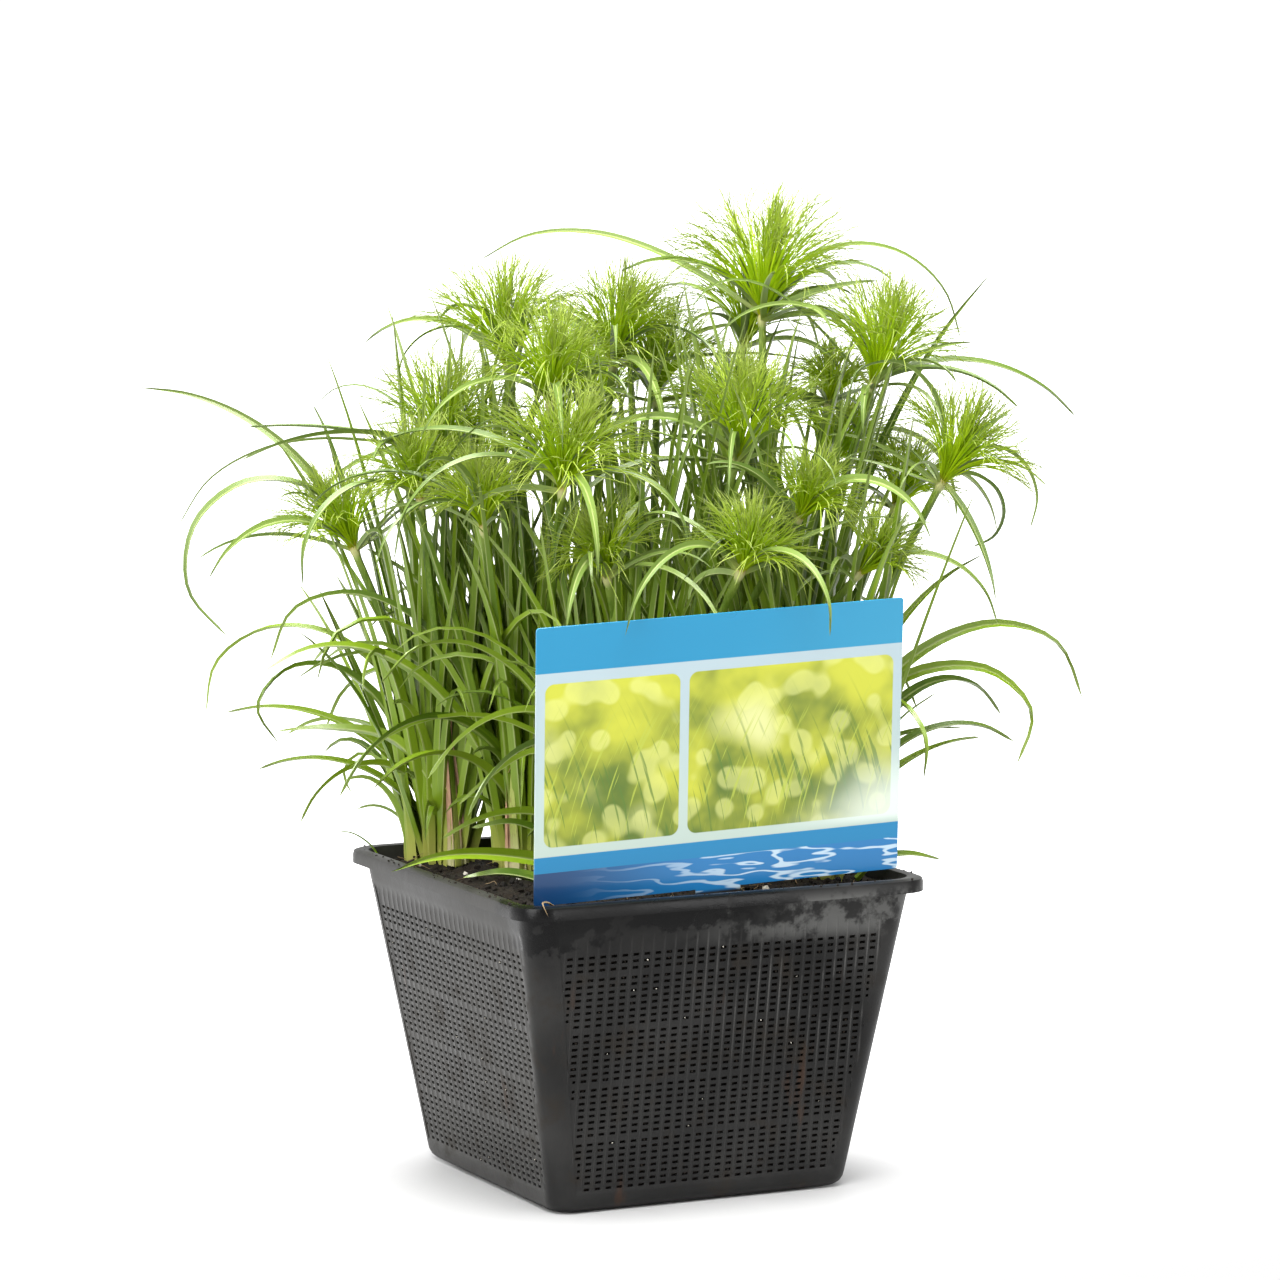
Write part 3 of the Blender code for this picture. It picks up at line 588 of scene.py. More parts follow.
def make_soil(surfaces):
    bm = bmesh.new()
    bmesh.ops.create_grid(bm, x_segments=SOIL_CELLS, y_segments=SOIL_CELLS, size=1)
    border = [edge for edge in bm.edges if edge.is_boundary]
    for vert in bm.verts:
        flat = soil_spot(vert.co.x, vert.co.y, SOIL_TOP)
        low = min(SOIL_TOP + 0.004, soil_height(flat.x, flat.y))
        vert.co = (flat.x, flat.y, SOIL_TOP - 0.0005 if vert.is_boundary else low)
    before = SOIL_TOP
    for level in np.linspace(SOIL_SIDE, SOIL_FLOOR, SOIL_RINGS):
        made = bmesh.ops.extrude_edge_only(bm, edges=border)["geom"]
        border = only(BMEdge, made)
        for vert in only(BMVert, made):
            vert.co.xy *= (wall_half(level) - SOIL_INSET) / (wall_half(before) - SOIL_INSET)
            vert.co.z = level
        before = level
    for vert in bm.verts:
        if vert.co.z < SOIL_TOP - 0.005:
            vert.co.xy *= 1 - DENT * max(0.0, lumps(vert.co, 120))
    bmesh.ops.contextual_create(bm, geom=border)
    bmesh.ops.recalc_face_normals(bm, faces=bm.faces)

    draw = random.Random(11)
    for _ in range(CRUMBS):
        flat = soil_spot(draw.uniform(-0.97, 0.97), draw.uniform(-0.97, 0.97), SOIL_TOP)
        size = CRUMB_SIZE + CRUMB_SPREAD * draw.random() ** 2.5
        place = Vector((flat.x, flat.y, soil_height(flat.x, flat.y) + size * 0.3))
        add_crumb(bm, draw, place, size, int(draw.random() < PERLITE_ON_TOP))
    for _ in range(RIM_CRUMBS):
        side = any_wall(draw)
        size = draw.uniform(0.0003, 0.001)
        place = Vector((draw.uniform(-0.13, 0.13), draw.uniform(-0.1385, -0.1335), RIM_TOP))
        add_crumb(bm, draw, side @ place, size, 0)
    for _ in range(SLOT_CRUMBS):
        row = draw.choice(slot_rows())
        height = (row[0] + row[1]) / 2 + draw.uniform(-0.0004, 0.0004)
        column = draw.randint(-14, 14) * SLOT_PITCH + draw.uniform(-0.0009, 0.0009)
        if abs(column) > panel_half(height) - 0.004:
            continue
        side = any_wall(draw)
        pale = draw.random() < PERLITE_IN_SLOTS
        size = draw.uniform(0.0003, 0.0006) if pale else draw.uniform(0.0005, 0.0009)
        depth = 0.0004 if pale else 0.0014
        place = side @ Vector((column, depth - wall_half(height), height))
        add_crumb(bm, draw, place, size, int(pale))
    return new_object("pond_soil", bm, *surfaces)


def wet_peat():
    made, place = new_finish("wet_peat", 0.35)
    clods = place.noise(70.0, 5.0, 0.6).rise(0.35, 0.7)
    threads = place.stretched(1.0, 0.45, 1.0).noise(420.0, 4.0, 0.7).rise(0.56, 0.68)
    colour = clods.blend((0.005, 0.0034, 0.0023), (0.024, 0.016, 0.01))
    colour = (threads * 0.4).blend(colour, (0.075, 0.05, 0.028))
    relief = place.noise(300.0, 6.0, 0.7) + threads * 0.4
    return finished(made, colour, 0.75 + clods * 0.2, relief.bump(0.0012))


def perlite():
    made, place = new_finish("perlite_grain", 0.5, Roughness=0.9)
    grain = place.noise(1400.0, 3.0)
    colour = grain.blend((0.4, 0.36, 0.28), (0.74, 0.71, 0.64))
    return finished(made, colour, None, grain.bump(0.0002))


def dry_root():
    made, place = new_finish("dry_root", 0.3)
    tint = place.noise(90.0, 3.0)
    colour = tint.blend((0.11, 0.066, 0.034), (0.36, 0.26, 0.14))
    return finished(made, colour, 0.7 + tint * 0.2)


def make_roots(surface):
    """Bits of root among the crumbs, and one that hangs over the rim beside the card."""
    draw = random.Random(12)
    bunch = Bunch()
    for _ in range(FIBRES):
        flat = soil_spot(draw.uniform(-0.93, 0.93), draw.uniform(-0.93, 0.93), SOIL_TOP)
        turn, length = draw.uniform(0, math.tau), draw.uniform(0.006, 0.022)
        points = []
        for step in range(4):
            spot = flat + Vector((math.cos(turn), math.sin(turn))) * length * (step / 3 - 0.5)
            spot = Vector([max(-ROOT_LIMIT, min(ROOT_LIMIT, value)) for value in spot])
            lift = 0.0008 + draw.uniform(0.0, 0.0035) * (step % 3 > 0)
            points.append((spot.x, spot.y, soil_height(spot.x, spot.y) + lift))
            turn += draw.uniform(-0.7, 0.7)
        thick = np.full(ROOT_STEPS + 1, draw.uniform(0.00014, 0.00032))
        bunch.add(root_shape, smooth_line(points, ROOT_STEPS), (0.3, 0.2, 1), thick, thick)
    hanging = smooth_line(HANGING_ROOT, ROOT_STEPS)
    thick = np.linspace(0.0009, 0.0004, ROOT_STEPS + 1)
    bunch.add(root_shape, hanging, (1, 0, 0), thick, thick)
    return bunch.build("loose_roots", surface)


soil = make_soil([wet_peat(), perlite()])
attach(soil, "root")
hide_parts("soil")
roots = make_roots(dry_root())
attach(roots, "root")


# ---- picture card ----------------------------------------------------------------------------
# A sheet of stiff plastic, printed on its face and out over its cut edge, and white on its back.
# It is die cut with a stake at the middle of its lower edge, which is pushed into the soil.

CARD_WIDTH, CARD_HEIGHT, CARD_THICKNESS = 0.245, 0.172, 0.001
CARD_CORNER, CARD_EDGE = 0.002, 0.00015
CARD_FOOT = (0.001, -0.117, 0.1985)  # the middle of its lower edge
CARD_TURN, CARD_LEAN, CARD_ROLL = -1.4, 6.0, -1.9  # degrees
STAKE_HALF, STAKE_LENGTH, STAKE_POINT = 0.015, 0.055, 0.012
# the print, in metres from the card's lower left corner
PANELS = ((0.006, 0.095), (0.101, 0.239))
PANEL_LOW, PANEL_HIGH = 0.036, 0.137
PANEL_BEND, PANEL_BLUR = 0.006, 0.0006
HEADER_FOOT, STRIPE_TOP, WATER_TOP = 0.1435, 0.0305, 0.0205


def card_place():
    turns = ((CARD_TURN, "Z"), (CARD_LEAN, "X"), (CARD_ROLL, "Y"))
    turn, lean, roll = (Matrix.Rotation(math.radians(angle), 4, axis) for angle, axis in turns)
    return Matrix.Translation(CARD_FOOT) @ turn @ lean @ roll


def make_card(surfaces):
    half, shoulder = CARD_WIDTH / 2, STAKE_POINT - STAKE_LENGTH
    outline = [
        (-half, 0), (-STAKE_HALF, 0), (-STAKE_HALF, shoulder), (0, -STAKE_LENGTH),
        (STAKE_HALF, shoulder), (STAKE_HALF, 0), (half, 0), (half, CARD_HEIGHT),
        (-half, CARD_HEIGHT),
    ]
    bm = bmesh.new()
    sheet = bm.faces.new([bm.verts.new((x, -CARD_THICKNESS / 2, z)) for x, z in outline])
    corners = [v for v in sheet.verts if abs(v.co.x) > half - 0.001 and v.co.z >= 0]
    bmesh.ops.bevel(bm, geom=corners, offset=CARD_CORNER, offset_type="OFFSET", segments=4,
                    profile=0.5, affect="VERTICES", material=-1)
    made = bmesh.ops.extrude_face_region(bm, geom=bm.faces[:], use_keep_orig=True)["geom"]
    bmesh.ops.translate(bm, verts=only(BMVert, made), vec=(0, CARD_THICKNESS, 0))
    bmesh.ops.recalc_face_normals(bm, faces=bm.faces)
    rim = [e for e in bm.edges if abs(e.verts[0].co.y - e.verts[1].co.y) < 1e-6]
    bmesh.ops.bevel(bm, geom=rim, offset=CARD_EDGE, offset_type="OFFSET", segments=1,
                    profile=0.5, affect="EDGES", material=-1)
    print_map = bm.loops.layers.uv.new("print")
    for face in bm.faces:
        face.material_index = 0 if face.normal.y < 0.5 else 1
        for loop in face.loops:
            loop[print_map].uv = (loop.vert.co.x + half, loop.vert.co.z)
    bmesh.ops.transform(bm, matrix=card_place(), verts=bm.verts)
    return new_object("picture_card", bm, *surfaces)


def printed_face():
    """Blue bands above and below, and two green panels of soft reeds on a pale field."""
    made, place = new_finish("glossy_print", 0.5, Coat_Weight=0.35, Coat_Roughness=0.08)
    spot = place.node("UVMap", {"uv_map": "print"}, {})
    x, z, _ = spot.axes()

    def panel(left, right):
        """1 inside a rectangle with round corners."""
        across, up = abs(x - (left + right) / 2), abs(z - (PANEL_LOW + PANEL_HIGH) / 2)
        over_x = (across - ((right - left) / 2 - PANEL_BEND)).maths("MAXIMUM", 0.0)
        over_z = (up - ((PANEL_HIGH - PANEL_LOW) / 2 - PANEL_BEND)).maths("MAXIMUM", 0.0)
        far = (over_x * over_x + over_z * over_z).maths("SQRT")
        return far.rise(PANEL_BEND + PANEL_BLUR / 2, PANEL_BEND - PANEL_BLUR / 2)

    def reeds(seed, width, lean):
        """Tall thin leaves that fan out from the bottom of a panel."""
        bent = x + z * z * lean + seed
        line = x.node("CombineXYZ", {}, {"X": bent, "Y": z * 0.05, "Z": seed})
        return line.noise(1.0 / width, 2.0, 0.5).rise(0.58, 0.66)

    field = z.rise(0.02, 0.14).blend((0.44, 0.54, 0.48), (0.38, 0.48, 0.52))
    light = (spot.noise(22.0, 3.0, 0.5) + z * 2.2).rise(0.46, 0.9)
    discs = spot.node("TexVoronoi", {"feature": "SMOOTH_F1"}, {"Vector": spot, "Scale": 62.0})
    green = light.blend((0.08, 0.14, 0.008), (0.5, 0.52, 0.035)).under(
        (spot.noise(15.0, 1.0, 0.4).rise(0.55, 0.75), (0.62, 0.64, 0.27)),
        (discs.rise(0.42, 0.3) * 0.45, (0.66, 0.69, 0.23)),
        (reeds(0.31, 0.0024, 2.2) * z.rise(0.135, 0.07) * 0.75, (0.075, 0.16, 0.012)),
        (reeds(0.77, 0.002, -2.6) * z.rise(0.14, 0.08) * 0.7, (0.4, 0.47, 0.05)),
    )
    wide, small = (panel(*sides) for sides in PANELS)
    # shine: a painted sheen that makes the header band lighter towards its right.
    shine = (x - z * 0.8).rise(-0.05, 0.24)
    wave = x.node("CombineXYZ", {}, {"X": x * 0.35, "Y": z * 2.4, "Z": 0.0})
    foam = (wave.noise(45.0, 2.0, 0.5) * 30.0).maths("SINE").rise(0.55, 0.95) * x.rise(0.02, 0.16)
    water = x.rise(0.0, 0.12).blend((0.006, 0.045, 0.14), (0.012, 0.17, 0.42))
    water = (foam * 0.85).blend(water, (0.56, 0.7, 0.78))
    glare = (x - z * 0.9 + spot.noise(12.0, 3.0, 0.5) * 0.05).rise(0.145, 0.23)
    glare = glare * z.rise(0.03, 0.036) * z.rise(0.085, 0.045)
    colour = field.under(
        (wide.maths("MAXIMUM", small), green),
        (z.rise(HEADER_FOOT, HEADER_FOOT + 0.0005),
         shine.blend((0.003, 0.22, 0.41), (0.025, 0.28, 0.46))),
        (z.rise(STRIPE_TOP, STRIPE_TOP - 0.0005), (0.003, 0.19, 0.4)),
        (z.rise(WATER_TOP, WATER_TOP - 0.0005), water),
        (glare * 0.75, (0.72, 0.8, 0.74)),
        (z.rise(-0.0002, -0.003), (0.018, 0.013, 0.009)),  # soil on the stake
    )
    rough = 0.22 + spot.noise(9.0, 3.0, 0.5) * 0.16
    return finished(made, colour, rough, spot.noise(60.0, 2.0).bump(0.00004))


def card_stock():
    made, place = new_finish("white_card_stock", 0.5)
    tint = place.noise(35.0, 4.0).blend((0.7, 0.71, 0.69), (0.82, 0.82, 0.8))
    return finished(made, tint, 0.36 + place.noise(20.0, 2.0) * 0.2)


card = make_card([printed_face(), card_stock()])
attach(card, "root")
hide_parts("label_card")


# ---- culms -----------------------------------------------------------------------------------
# The upright stems: solid, three-sided with round corners, smooth and waxy. Each grows from its
# clump's rootstock, pale and wrapped in a short sheath at its foot, and is dark green above.

CULM_FOOT_RADIUS, CULM_HEAD_RADIUS = 0.0038, 0.0024
CULM_SWELL, SWELL_HEIGHT = 0.0016, 0.03  # its foot is thicker by this, up to about this height
CULM_STEPS, SHEATH_STEPS = 22, 12
RING_STEP = 0.0042  # the rings of a solid culm are further apart than this
SHEATHS = 3


def merged(node):
    """A copy of a CAD node's mesh with its triangles joined."""
    bm = bmesh.new()
    bm.from_mesh(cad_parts[node].data)
    bmesh.ops.remove_doubles(bm, verts=bm.verts, dist=SAME)
    return bm


def growth_of(place):
    """Along a blade from foot to tip, across it, and a number that differs from blade to blade."""
    across, along, _ = place.node("UVMap", {"uv_map": "growth"}, {}).axes()
    each = place.node("TexWhiteNoise", {"noise_dimensions": "1D"}, {"W": across.maths("FLOOR")})
    return along, across.maths("FRACT"), each


def culm_line(node):
    """The middle of each ring of a CAD culm, from its foot up."""
    rings = []
    for vert in sorted(merged(node).verts, key=lambda v: v.co.z):
        if not rings or vert.co.z - rings[-1][-1].z > RING_STEP:
            rings.append([])
        rings[-1].append(vert.co.copy())
    return [sum(ring, Vector()) / len(ring) for ring in rings]


CULM_SECTION = [
    (math.cos(a) * (1 + 0.13 * math.cos(3 * a)), math.sin(a) * (1 + 0.13 * math.cos(3 * a)))
    for a in [math.tau * k / 9 for k in range(9)]
]
culm_shape = strand("culm_shape", CULM_SECTION, CULM_STEPS, pointed=False)
sheath_shape = strand("sheath_shape", [
    (-1.0, 0.55), (-0.72, -0.42), (0.0, -0.78), (0.72, -0.42), (1.0, 0.55), (0.62, -0.22),
    (0.0, -0.52), (-0.62, -0.22),
], SHEATH_STEPS)


def level(turn):
    """The level direction at this angle from +X."""
    return np.array((math.cos(turn), math.sin(turn), 0))


def make_culm(number, surfaces):
    draw = random.Random(100 + number)
    line = smooth_line(culm_line(f"stem_{number:02d}"), CULM_STEPS)
    share = np.linspace(0, 1, CULM_STEPS + 1)
    height = line[:, 2] - line[0, 2]
    thick = CULM_FOOT_RADIUS + (CULM_HEAD_RADIUS - CULM_FOOT_RADIUS) * share**0.7
    thick = thick + CULM_SWELL * np.exp(-height / SWELL_HEIGHT)
    turn = draw.uniform(0, math.tau)
    bunch = Bunch()
    bunch.add(culm_shape, line, level(turn), thick, thick, twist=draw.uniform(-0.5, 0.5))
    for _ in range(SHEATHS):
        turn += math.pi * 0.8 + draw.uniform(-0.5, 0.5)
        out = level(turn)
        top = int(np.searchsorted(height, draw.uniform(0.045, 0.1)))
        points = line[:top + 1] + out * 0.0006
        points[-1] += out * draw.uniform(0.002, 0.006)
        wrap = smooth_line(points, SHEATH_STEPS)
        s = np.linspace(0, 1, SHEATH_STEPS + 1)
        wide = (CULM_FOOT_RADIUS + 0.0024) * np.sqrt(1 - s**3) * (1 - 0.35 * s)
        bunch.add(sheath_shape, wrap, np.cross(out, (0, 0, 1)), wide, wide, slot=1)
    return bunch.build(f"culm_{number:02d}", *surfaces)


def culm_skin():
    made, place = new_finish("waxy_culm_green", 0.24)
    along, _, each = growth_of(place)
    veins = place.stretched(1.0, 1.0, 0.05).noise(900.0, 2.0, 0.5)
    colour = each.blend((0.038, 0.084, 0.002), (0.1, 0.168, 0.008)).under(
        (along.rise(0.28, 0.04), (0.38, 0.4, 0.085)),
        (along.rise(0.93, 1.0) * 0.5, (0.23, 0.3, 0.055)),
        (veins.rise(0.45, 0.75) * 0.35, (0.21, 0.28, 0.045)),
    )
    return finished(made, colour, 0.36 + veins * 0.2, veins.bump(0.0002))


def sheath_skin():
    made, place = new_finish("papery_sheath", 0.3)
    along, _, each = growth_of(place)
    veins = place.stretched(1.0, 1.0, 0.06).noise(1100.0, 2.0, 0.6)
    colour = each.rise(0.35, 0.75).blend((0.38, 0.44, 0.11), (0.48, 0.29, 0.18)).under(
        (veins.rise(0.5, 0.7) * 0.5, (0.2, 0.09, 0.045)),
        (along.rise(0.35, 0.0), (0.6, 0.57, 0.3)),
    )
    return finished(made, colour, 0.6 + veins * 0.2, veins.bump(0.0004))


culm_surfaces = [culm_skin(), sheath_skin()]
NUMBERS = sorted(int(name[5:]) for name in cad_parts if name.startswith("stem_"))
for number in NUMBERS:
    culm = make_culm(number, culm_surfaces)
    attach(culm, "root")
    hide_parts(f"stem_{number:02d}")


# ---- basal leaves ----------------------------------------------------------------------------
# Grass-like leaves that grow from the clumps between the culms: keeled, soft and glossy, with a
# pale midrib, and drawn out to a thread. The outer ones arch down over the rim.

LEAF_WIDTH = 0.009
LEAF_STEPS, FILL_STEPS = 30, 15
LEAF_SECTIONS = 7
LEAN = 0.9  # the most that a level blade leans aside
FACED_SHARE = 9.0  # how much a blade that shows its face turns to the camera
CARD_MARGIN, RIM_INSIDE = 0.004, 0.122  # what a blade keeps clear of
ARCH_STEPS = 12
SEEN_ALONG = (0.432, 0.895, -0.114)  # the camera's line of sight
FACED = [(-0.264, 0.181, 0.495), (0.227, -0.056, 0.569)]  # tips of blades that show their face
SPARSE = ("right", "right_edge")  # tufts with few leaves beside those of their solid
UPRIGHT_LEAVES, UPRIGHT_TRIES = 74, 900
CLUMP_REACH = 0.022  # how far from a clump's middle a leaf can start
FOOT_LIMIT = 0.115  # and how far from the basket's
LEAN_REACH, LEAN_HEIGHT = 0.1, 0.34  # a leaf that ends past both is left out
STRAYS = [  # leaves with a place of their own: tuft, width, how far on edge, and points
    ("left", 0.0022, 0.0, (-0.124, 0.112, 0.19), (-0.131, 0.119, 0.202), (-0.142, 0.124, 0.209),
     (-0.152, 0.129, 0.209)),
    ("left", 0.01, 0.9, (-0.09, 0.095, 0.19), (-0.1, 0.085, 0.24), (-0.125, 0.095, 0.272),
     (-0.16, 0.112, 0.279), (-0.191, 0.126, 0.277)),
    ("front", 0.0098, 0.7, (-0.03, -0.005, 0.19), (-0.055, -0.002, 0.215), (-0.08, 0.008, 0.227),
     (-0.104, 0.017, 0.224)),
    ("front", 0.009, 0.6, (-0.03, -0.02, 0.19), (-0.05, -0.03, 0.235), (-0.081, -0.028, 0.276),
     (-0.104, -0.016, 0.262), (-0.124, -0.008, 0.243)),
    ("front", 0.009, 1.5, (-0.07, -0.07, 0.19), (-0.09, -0.065, 0.2), (-0.115, -0.056, 0.2065),
     (-0.138, -0.046, 0.204)),
    ("right_edge", 0.006, 0.9, (0.108, -0.05, 0.19), (0.118, -0.042, 0.228), (0.14, -0.04, 0.262),
     (0.17, -0.047, 0.276), (0.205, -0.06, 0.279)),
    ("right_edge", 0.0045, 0.4, (0.115, -0.045, 0.19), (0.14, -0.043, 0.24),
     (0.167, -0.047, 0.286), (0.186, -0.057, 0.302)),
    ("right_edge", 0.0075, 0.3, (0.116, -0.082, 0.19), (0.126, -0.091, 0.2035),
     (0.142, -0.1, 0.207), (0.16, -0.11, 0.204)),
]
CHANNEL = [(-1.0, 0.32), (0.0, -0.22), (1.0, 0.32), (0.0, -0.06)]
leaf_shape = strand("leaf_shape", CHANNEL, LEAF_STEPS)
fill_shape = strand("fill_leaf_shape", CHANNEL, FILL_STEPS)


def rings_behind(tip, most):
    """The rings of three corners behind a blade's tip, from the tip back."""
    seen, ring, rings = {tip}, [tip], []
    while len(rings) < most:
        ring = list({e.other_vert(v) for v in ring for e in v.link_edges} - seen)
        if len(ring) != 3:
            break
        seen.update(ring)
        rings.append(ring)
    return rings


def read_blades(node, most):
    """A CAD node's knot centre, its blades as (line from the first section out, side), and the
    tips of its rays."""
    bm = merged(node)
    blades, rays, outer = [], [], set()
    for tip in (v for v in bm.verts if len(v.link_edges) == 3):
        rings = rings_behind(tip, most)
        outer.add(tip)
        if len(rings) < most:
            rays.append(np.array(tip.co))
            continue
        line = [tip.co.copy()]
        for ring in rings:
            outer.update(ring)
            pairs = [(ring[0], ring[1]), (ring[1], ring[2]), (ring[2], ring[0])]
            left, right = max(pairs, key=lambda pair: (pair[0].co - pair[1].co).length)
            line.append((left.co + right.co) / 2)
            side, keel = left.co - right.co, next(v for v in ring if v not in (left, right))
        line.reverse()
        ahead, above = line[1] - line[0], line[0] - keel.co
        if ahead.cross(side).dot(above) < 0:
            side = -side
        blades.append((np.array([tuple(p) for p in line]), np.array(side.normalized())))
    knot = np.array([tuple(v.co) for v in bm.verts if v not in outer])
    bm.free()
    return (knot.min(0) + knot.max(0)) / 2, blades, rays


def blade_width(share):
    return np.minimum(1.0, 0.6 + 1.6 * share) * (1 - share**2.5) ** 0.9


def is_faced(line):
    return min(np.linalg.norm(line[-1] - np.array(tip)) for tip in FACED) < 0.01


def to_camera(line, side, share):
    """The side vector of a blade on this line with its face turned to the camera by a share."""
    flat = unit(np.cross(SEEN_ALONG, line[-1] - line[0]))
    flat *= 1 if flat @ side >= 0 else -1
    return unit(np.asarray(side, float)) + flat * share


def lay_blade(bunch, draw, shape, line, side, width, turn=0.4, slot=0, along=(0.0, 1.0)):
    """Lays a blade: folded at its foot, flatter and narrower towards its tip. Where it lies
    level, it leans to either side."""
    share = np.linspace(0, 1, len(line))
    side = np.asarray(side) + np.array((0, 0, draw.uniform(-LEAN, LEAN)))
    bunch.add(shape, line, side, width / 2 * blade_width(share), width / 2 * (1.8 - 1.1 * share),
              slot=slot, along=along, twist=draw.uniform(-turn, turn))


def arching(draw, start, turn, rise, bend, length):
    """Places along a growth that sets off at this rise, sways aside, and bends over and down."""
    share = np.linspace(0, 1, ARCH_STEPS)
    slopes = rise - bend * share ** draw.uniform(1.3, 2.8)
    turns = turn + draw.uniform(-0.6, 0.6) * share
    steps = np.stack([
        np.cos(slopes) * np.cos(turns), np.cos(slopes) * np.sin(turns), np.sin(slopes),
    ], 1)
    return start + np.vstack([np.zeros(3), np.cumsum(steps * length / ARCH_STEPS, axis=0)])


card_axes = np.array(card_place().inverted())


def blocked(line, margin=CARD_MARGIN):
    """Whether a line runs into the card, the rim, the walls or the soil."""
    beside = line @ card_axes[:3, :3].T + card_axes[:3, 3]
    flat = (abs(beside[:, 0]) < CARD_WIDTH / 2 + margin) & (beside[:, 2] > -0.01)
    flat &= (beside[:, 2] < CARD_HEIGHT + margin)
    side = np.sign(beside[:, 1])
    crosses = flat[:-1] & (side[:-1] != side[1:])
    near = flat & (abs(beside[:, 1]) < margin)
    out = np.abs(line[:, :2]).max(1)
    rim = (line[:, 2] < RIM_TOP + margin) & (out > RIM_INSIDE) & (out < RIM_HALF + margin)
    low = (line[:, 2] < SOIL_TOP + 0.001) & (out < RIM_HALF)
    return bool(crosses.any() or near.any() or rim.any() or low[2:].any())


facings = unit(np.array([
    (math.cos(a) * math.cos(b), math.sin(a) * math.cos(b), math.sin(b))
    for a in np.linspace(0, math.tau, 24, endpoint=False) for b in np.linspace(-0.3, 1.5, 7)
]))
growing = [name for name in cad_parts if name.startswith(("leaves_", "umbel_"))]
furthest = np.max([
    (corners_of(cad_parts[name].data) @ facings.T).max(0) for name in growing
], axis=0)


def outside(line, margin=0.001):
    """Whether a line leaves the room that the whole plant takes up."""
    return bool((line @ facings.T > furthest - margin).any())


def turned(vectors, angle):
    c, s = math.cos(angle), math.sin(angle)
    return vectors @ np.array([[c, s, 0], [-s, c, 0], [0, 0, 1]])


def make_tuft(clump, order, surfaces):
    draw = random.Random(300 + order)
    centre, blades, _ = read_blades(f"leaves_{clump}", LEAF_SECTIONS)
    foot = np.array([centre[0], centre[1], SOIL_TOP - 0.002])
    sparse = clump in SPARSE
    bunch = Bunch()
    for line, side in blades:
        out = unit(np.cross(side, (0, 0, 1)))
        whole = smooth_line(np.vstack([foot + out * 0.003, line]), LEAF_STEPS)
        face = to_camera(whole, side, FACED_SHARE if is_faced(whole) else draw.uniform(0.2, 2.0))
        turn = 0.1 if is_faced(whole) else 0.8
        lay_blade(bunch, draw, leaf_shape, whole, face, LEAF_WIDTH * draw.uniform(0.85, 1.2), turn)
        if sparse:
            continue
        angle = draw.choice((-1, 1)) * draw.uniform(0.12, 0.8)
        start = foot + turned(out, angle) * draw.uniform(0.004, 0.02)
        own = turned(line - foot, angle) * draw.uniform(0.5, 1.0)
        own[:, :2] *= draw.uniform(0.45, 1.05)
        other = smooth_line(np.vstack([start, start + own]), FILL_STEPS)
        if not blocked(other) and not outside(other):
            lay_blade(bunch, draw, fill_shape, other, turned(side, angle),
                      LEAF_WIDTH * draw.uniform(0.7, 1.1), turn=0.8)
    for _, width, edge, *points in (row for row in STRAYS if row[0] == clump):
        line = smooth_line(points, LEAF_STEPS)
        side = unit(np.cross((0, 0, 1), line[-1] - line[0])) + edge * np.array((0, 0, 1))
        lay_blade(bunch, draw, leaf_shape, line, side, width, turn=0.3, along=(0.25, 1.0))
    made = 0
    for _ in range(UPRIGHT_TRIES):
        turn, away = draw.uniform(0, math.tau), CLUMP_REACH * math.sqrt(draw.random())
        start = foot + level(turn) * away
        stiff = draw.random() < (0.95 if sparse else 0.7)
        bend = draw.uniform(0.1, 0.6) if stiff else draw.uniform(0.7, 2.4)
        line = arching(draw, start, turn, draw.uniform(1.22, 1.56), bend, draw.uniform(0.18, 0.39))
        other = smooth_line(line, FILL_STEPS)
        leans = np.linalg.norm((other[-1] - other[0])[:2]) > LEAN_REACH
        leans = leans and other[-1, 2] > LEAN_HEIGHT
        if leans or np.abs(start[:2]).max() > FOOT_LIMIT or blocked(other) or outside(other):
            continue
        lay_blade(bunch, draw, fill_shape, other, level(turn + math.pi / 2),
                  LEAF_WIDTH * draw.uniform(0.55, 1.05), turn=1.4)
        made += 1
        if made == UPRIGHT_LEAVES:
            break
    return bunch.build(f"leaf_tuft_{clump}", *surfaces)


def mixed(made, share, kind, colour):
    """The material with this share of another kind of shader in it."""
    tree = made.node_tree
    shader = Wire(tree, tree.nodes["Principled BSDF"].outputs[0])
    other = shader.node(kind, {}, {"Color": colour})
    both = shader.node("MixShader", {}, {0: share, 1: shader, 2: other})
    tree.links.new(both.socket, tree.nodes["Material Output"].inputs[0])
    return made


def leaf_skin(name, dark, bright, foot, tip):
    """A glossy blade with lengthways veins, lit through from behind by a little."""
    made, place = new_finish(name, 0.42)
    along, across, each = growth_of(place)
    stripe = across.node("CombineXYZ", {}, {"X": across * 4.0, "Y": along * 0.8, "Z": each * 50.0})
    veins = stripe.noise(3.0, 1.0, 0.5) * along.rise(0.95, 0.5)
    blotch = place.noise(45.0, 3.0, 0.5)
    colour = (each * 0.75 + blotch * 0.35).blend(dark, bright).under(
        (veins.rise(0.45, 0.7) * 0.4, bright),
        (abs(across - 0.5).rise(0.1, 0.03) * 0.6, (0.44, 0.5, 0.2)),  # the midrib
        # Painted light: the lower part of each blade is lighter.
        (along.rise(0.6, 0.05) * 0.45, bright),
        (along.rise(0.16, 0.0), foot),
        (along.rise(0.72, 1.0) * 0.7, tip),
    )
    finished(made, colour, 0.27 + veins * 0.22, veins.bump(0.0001))
    through = [0.5 * (a + b) for a, b in zip(bright, tip)]
    return mixed(made, 0.08, "BsdfTranslucent", (*through, 1.0))


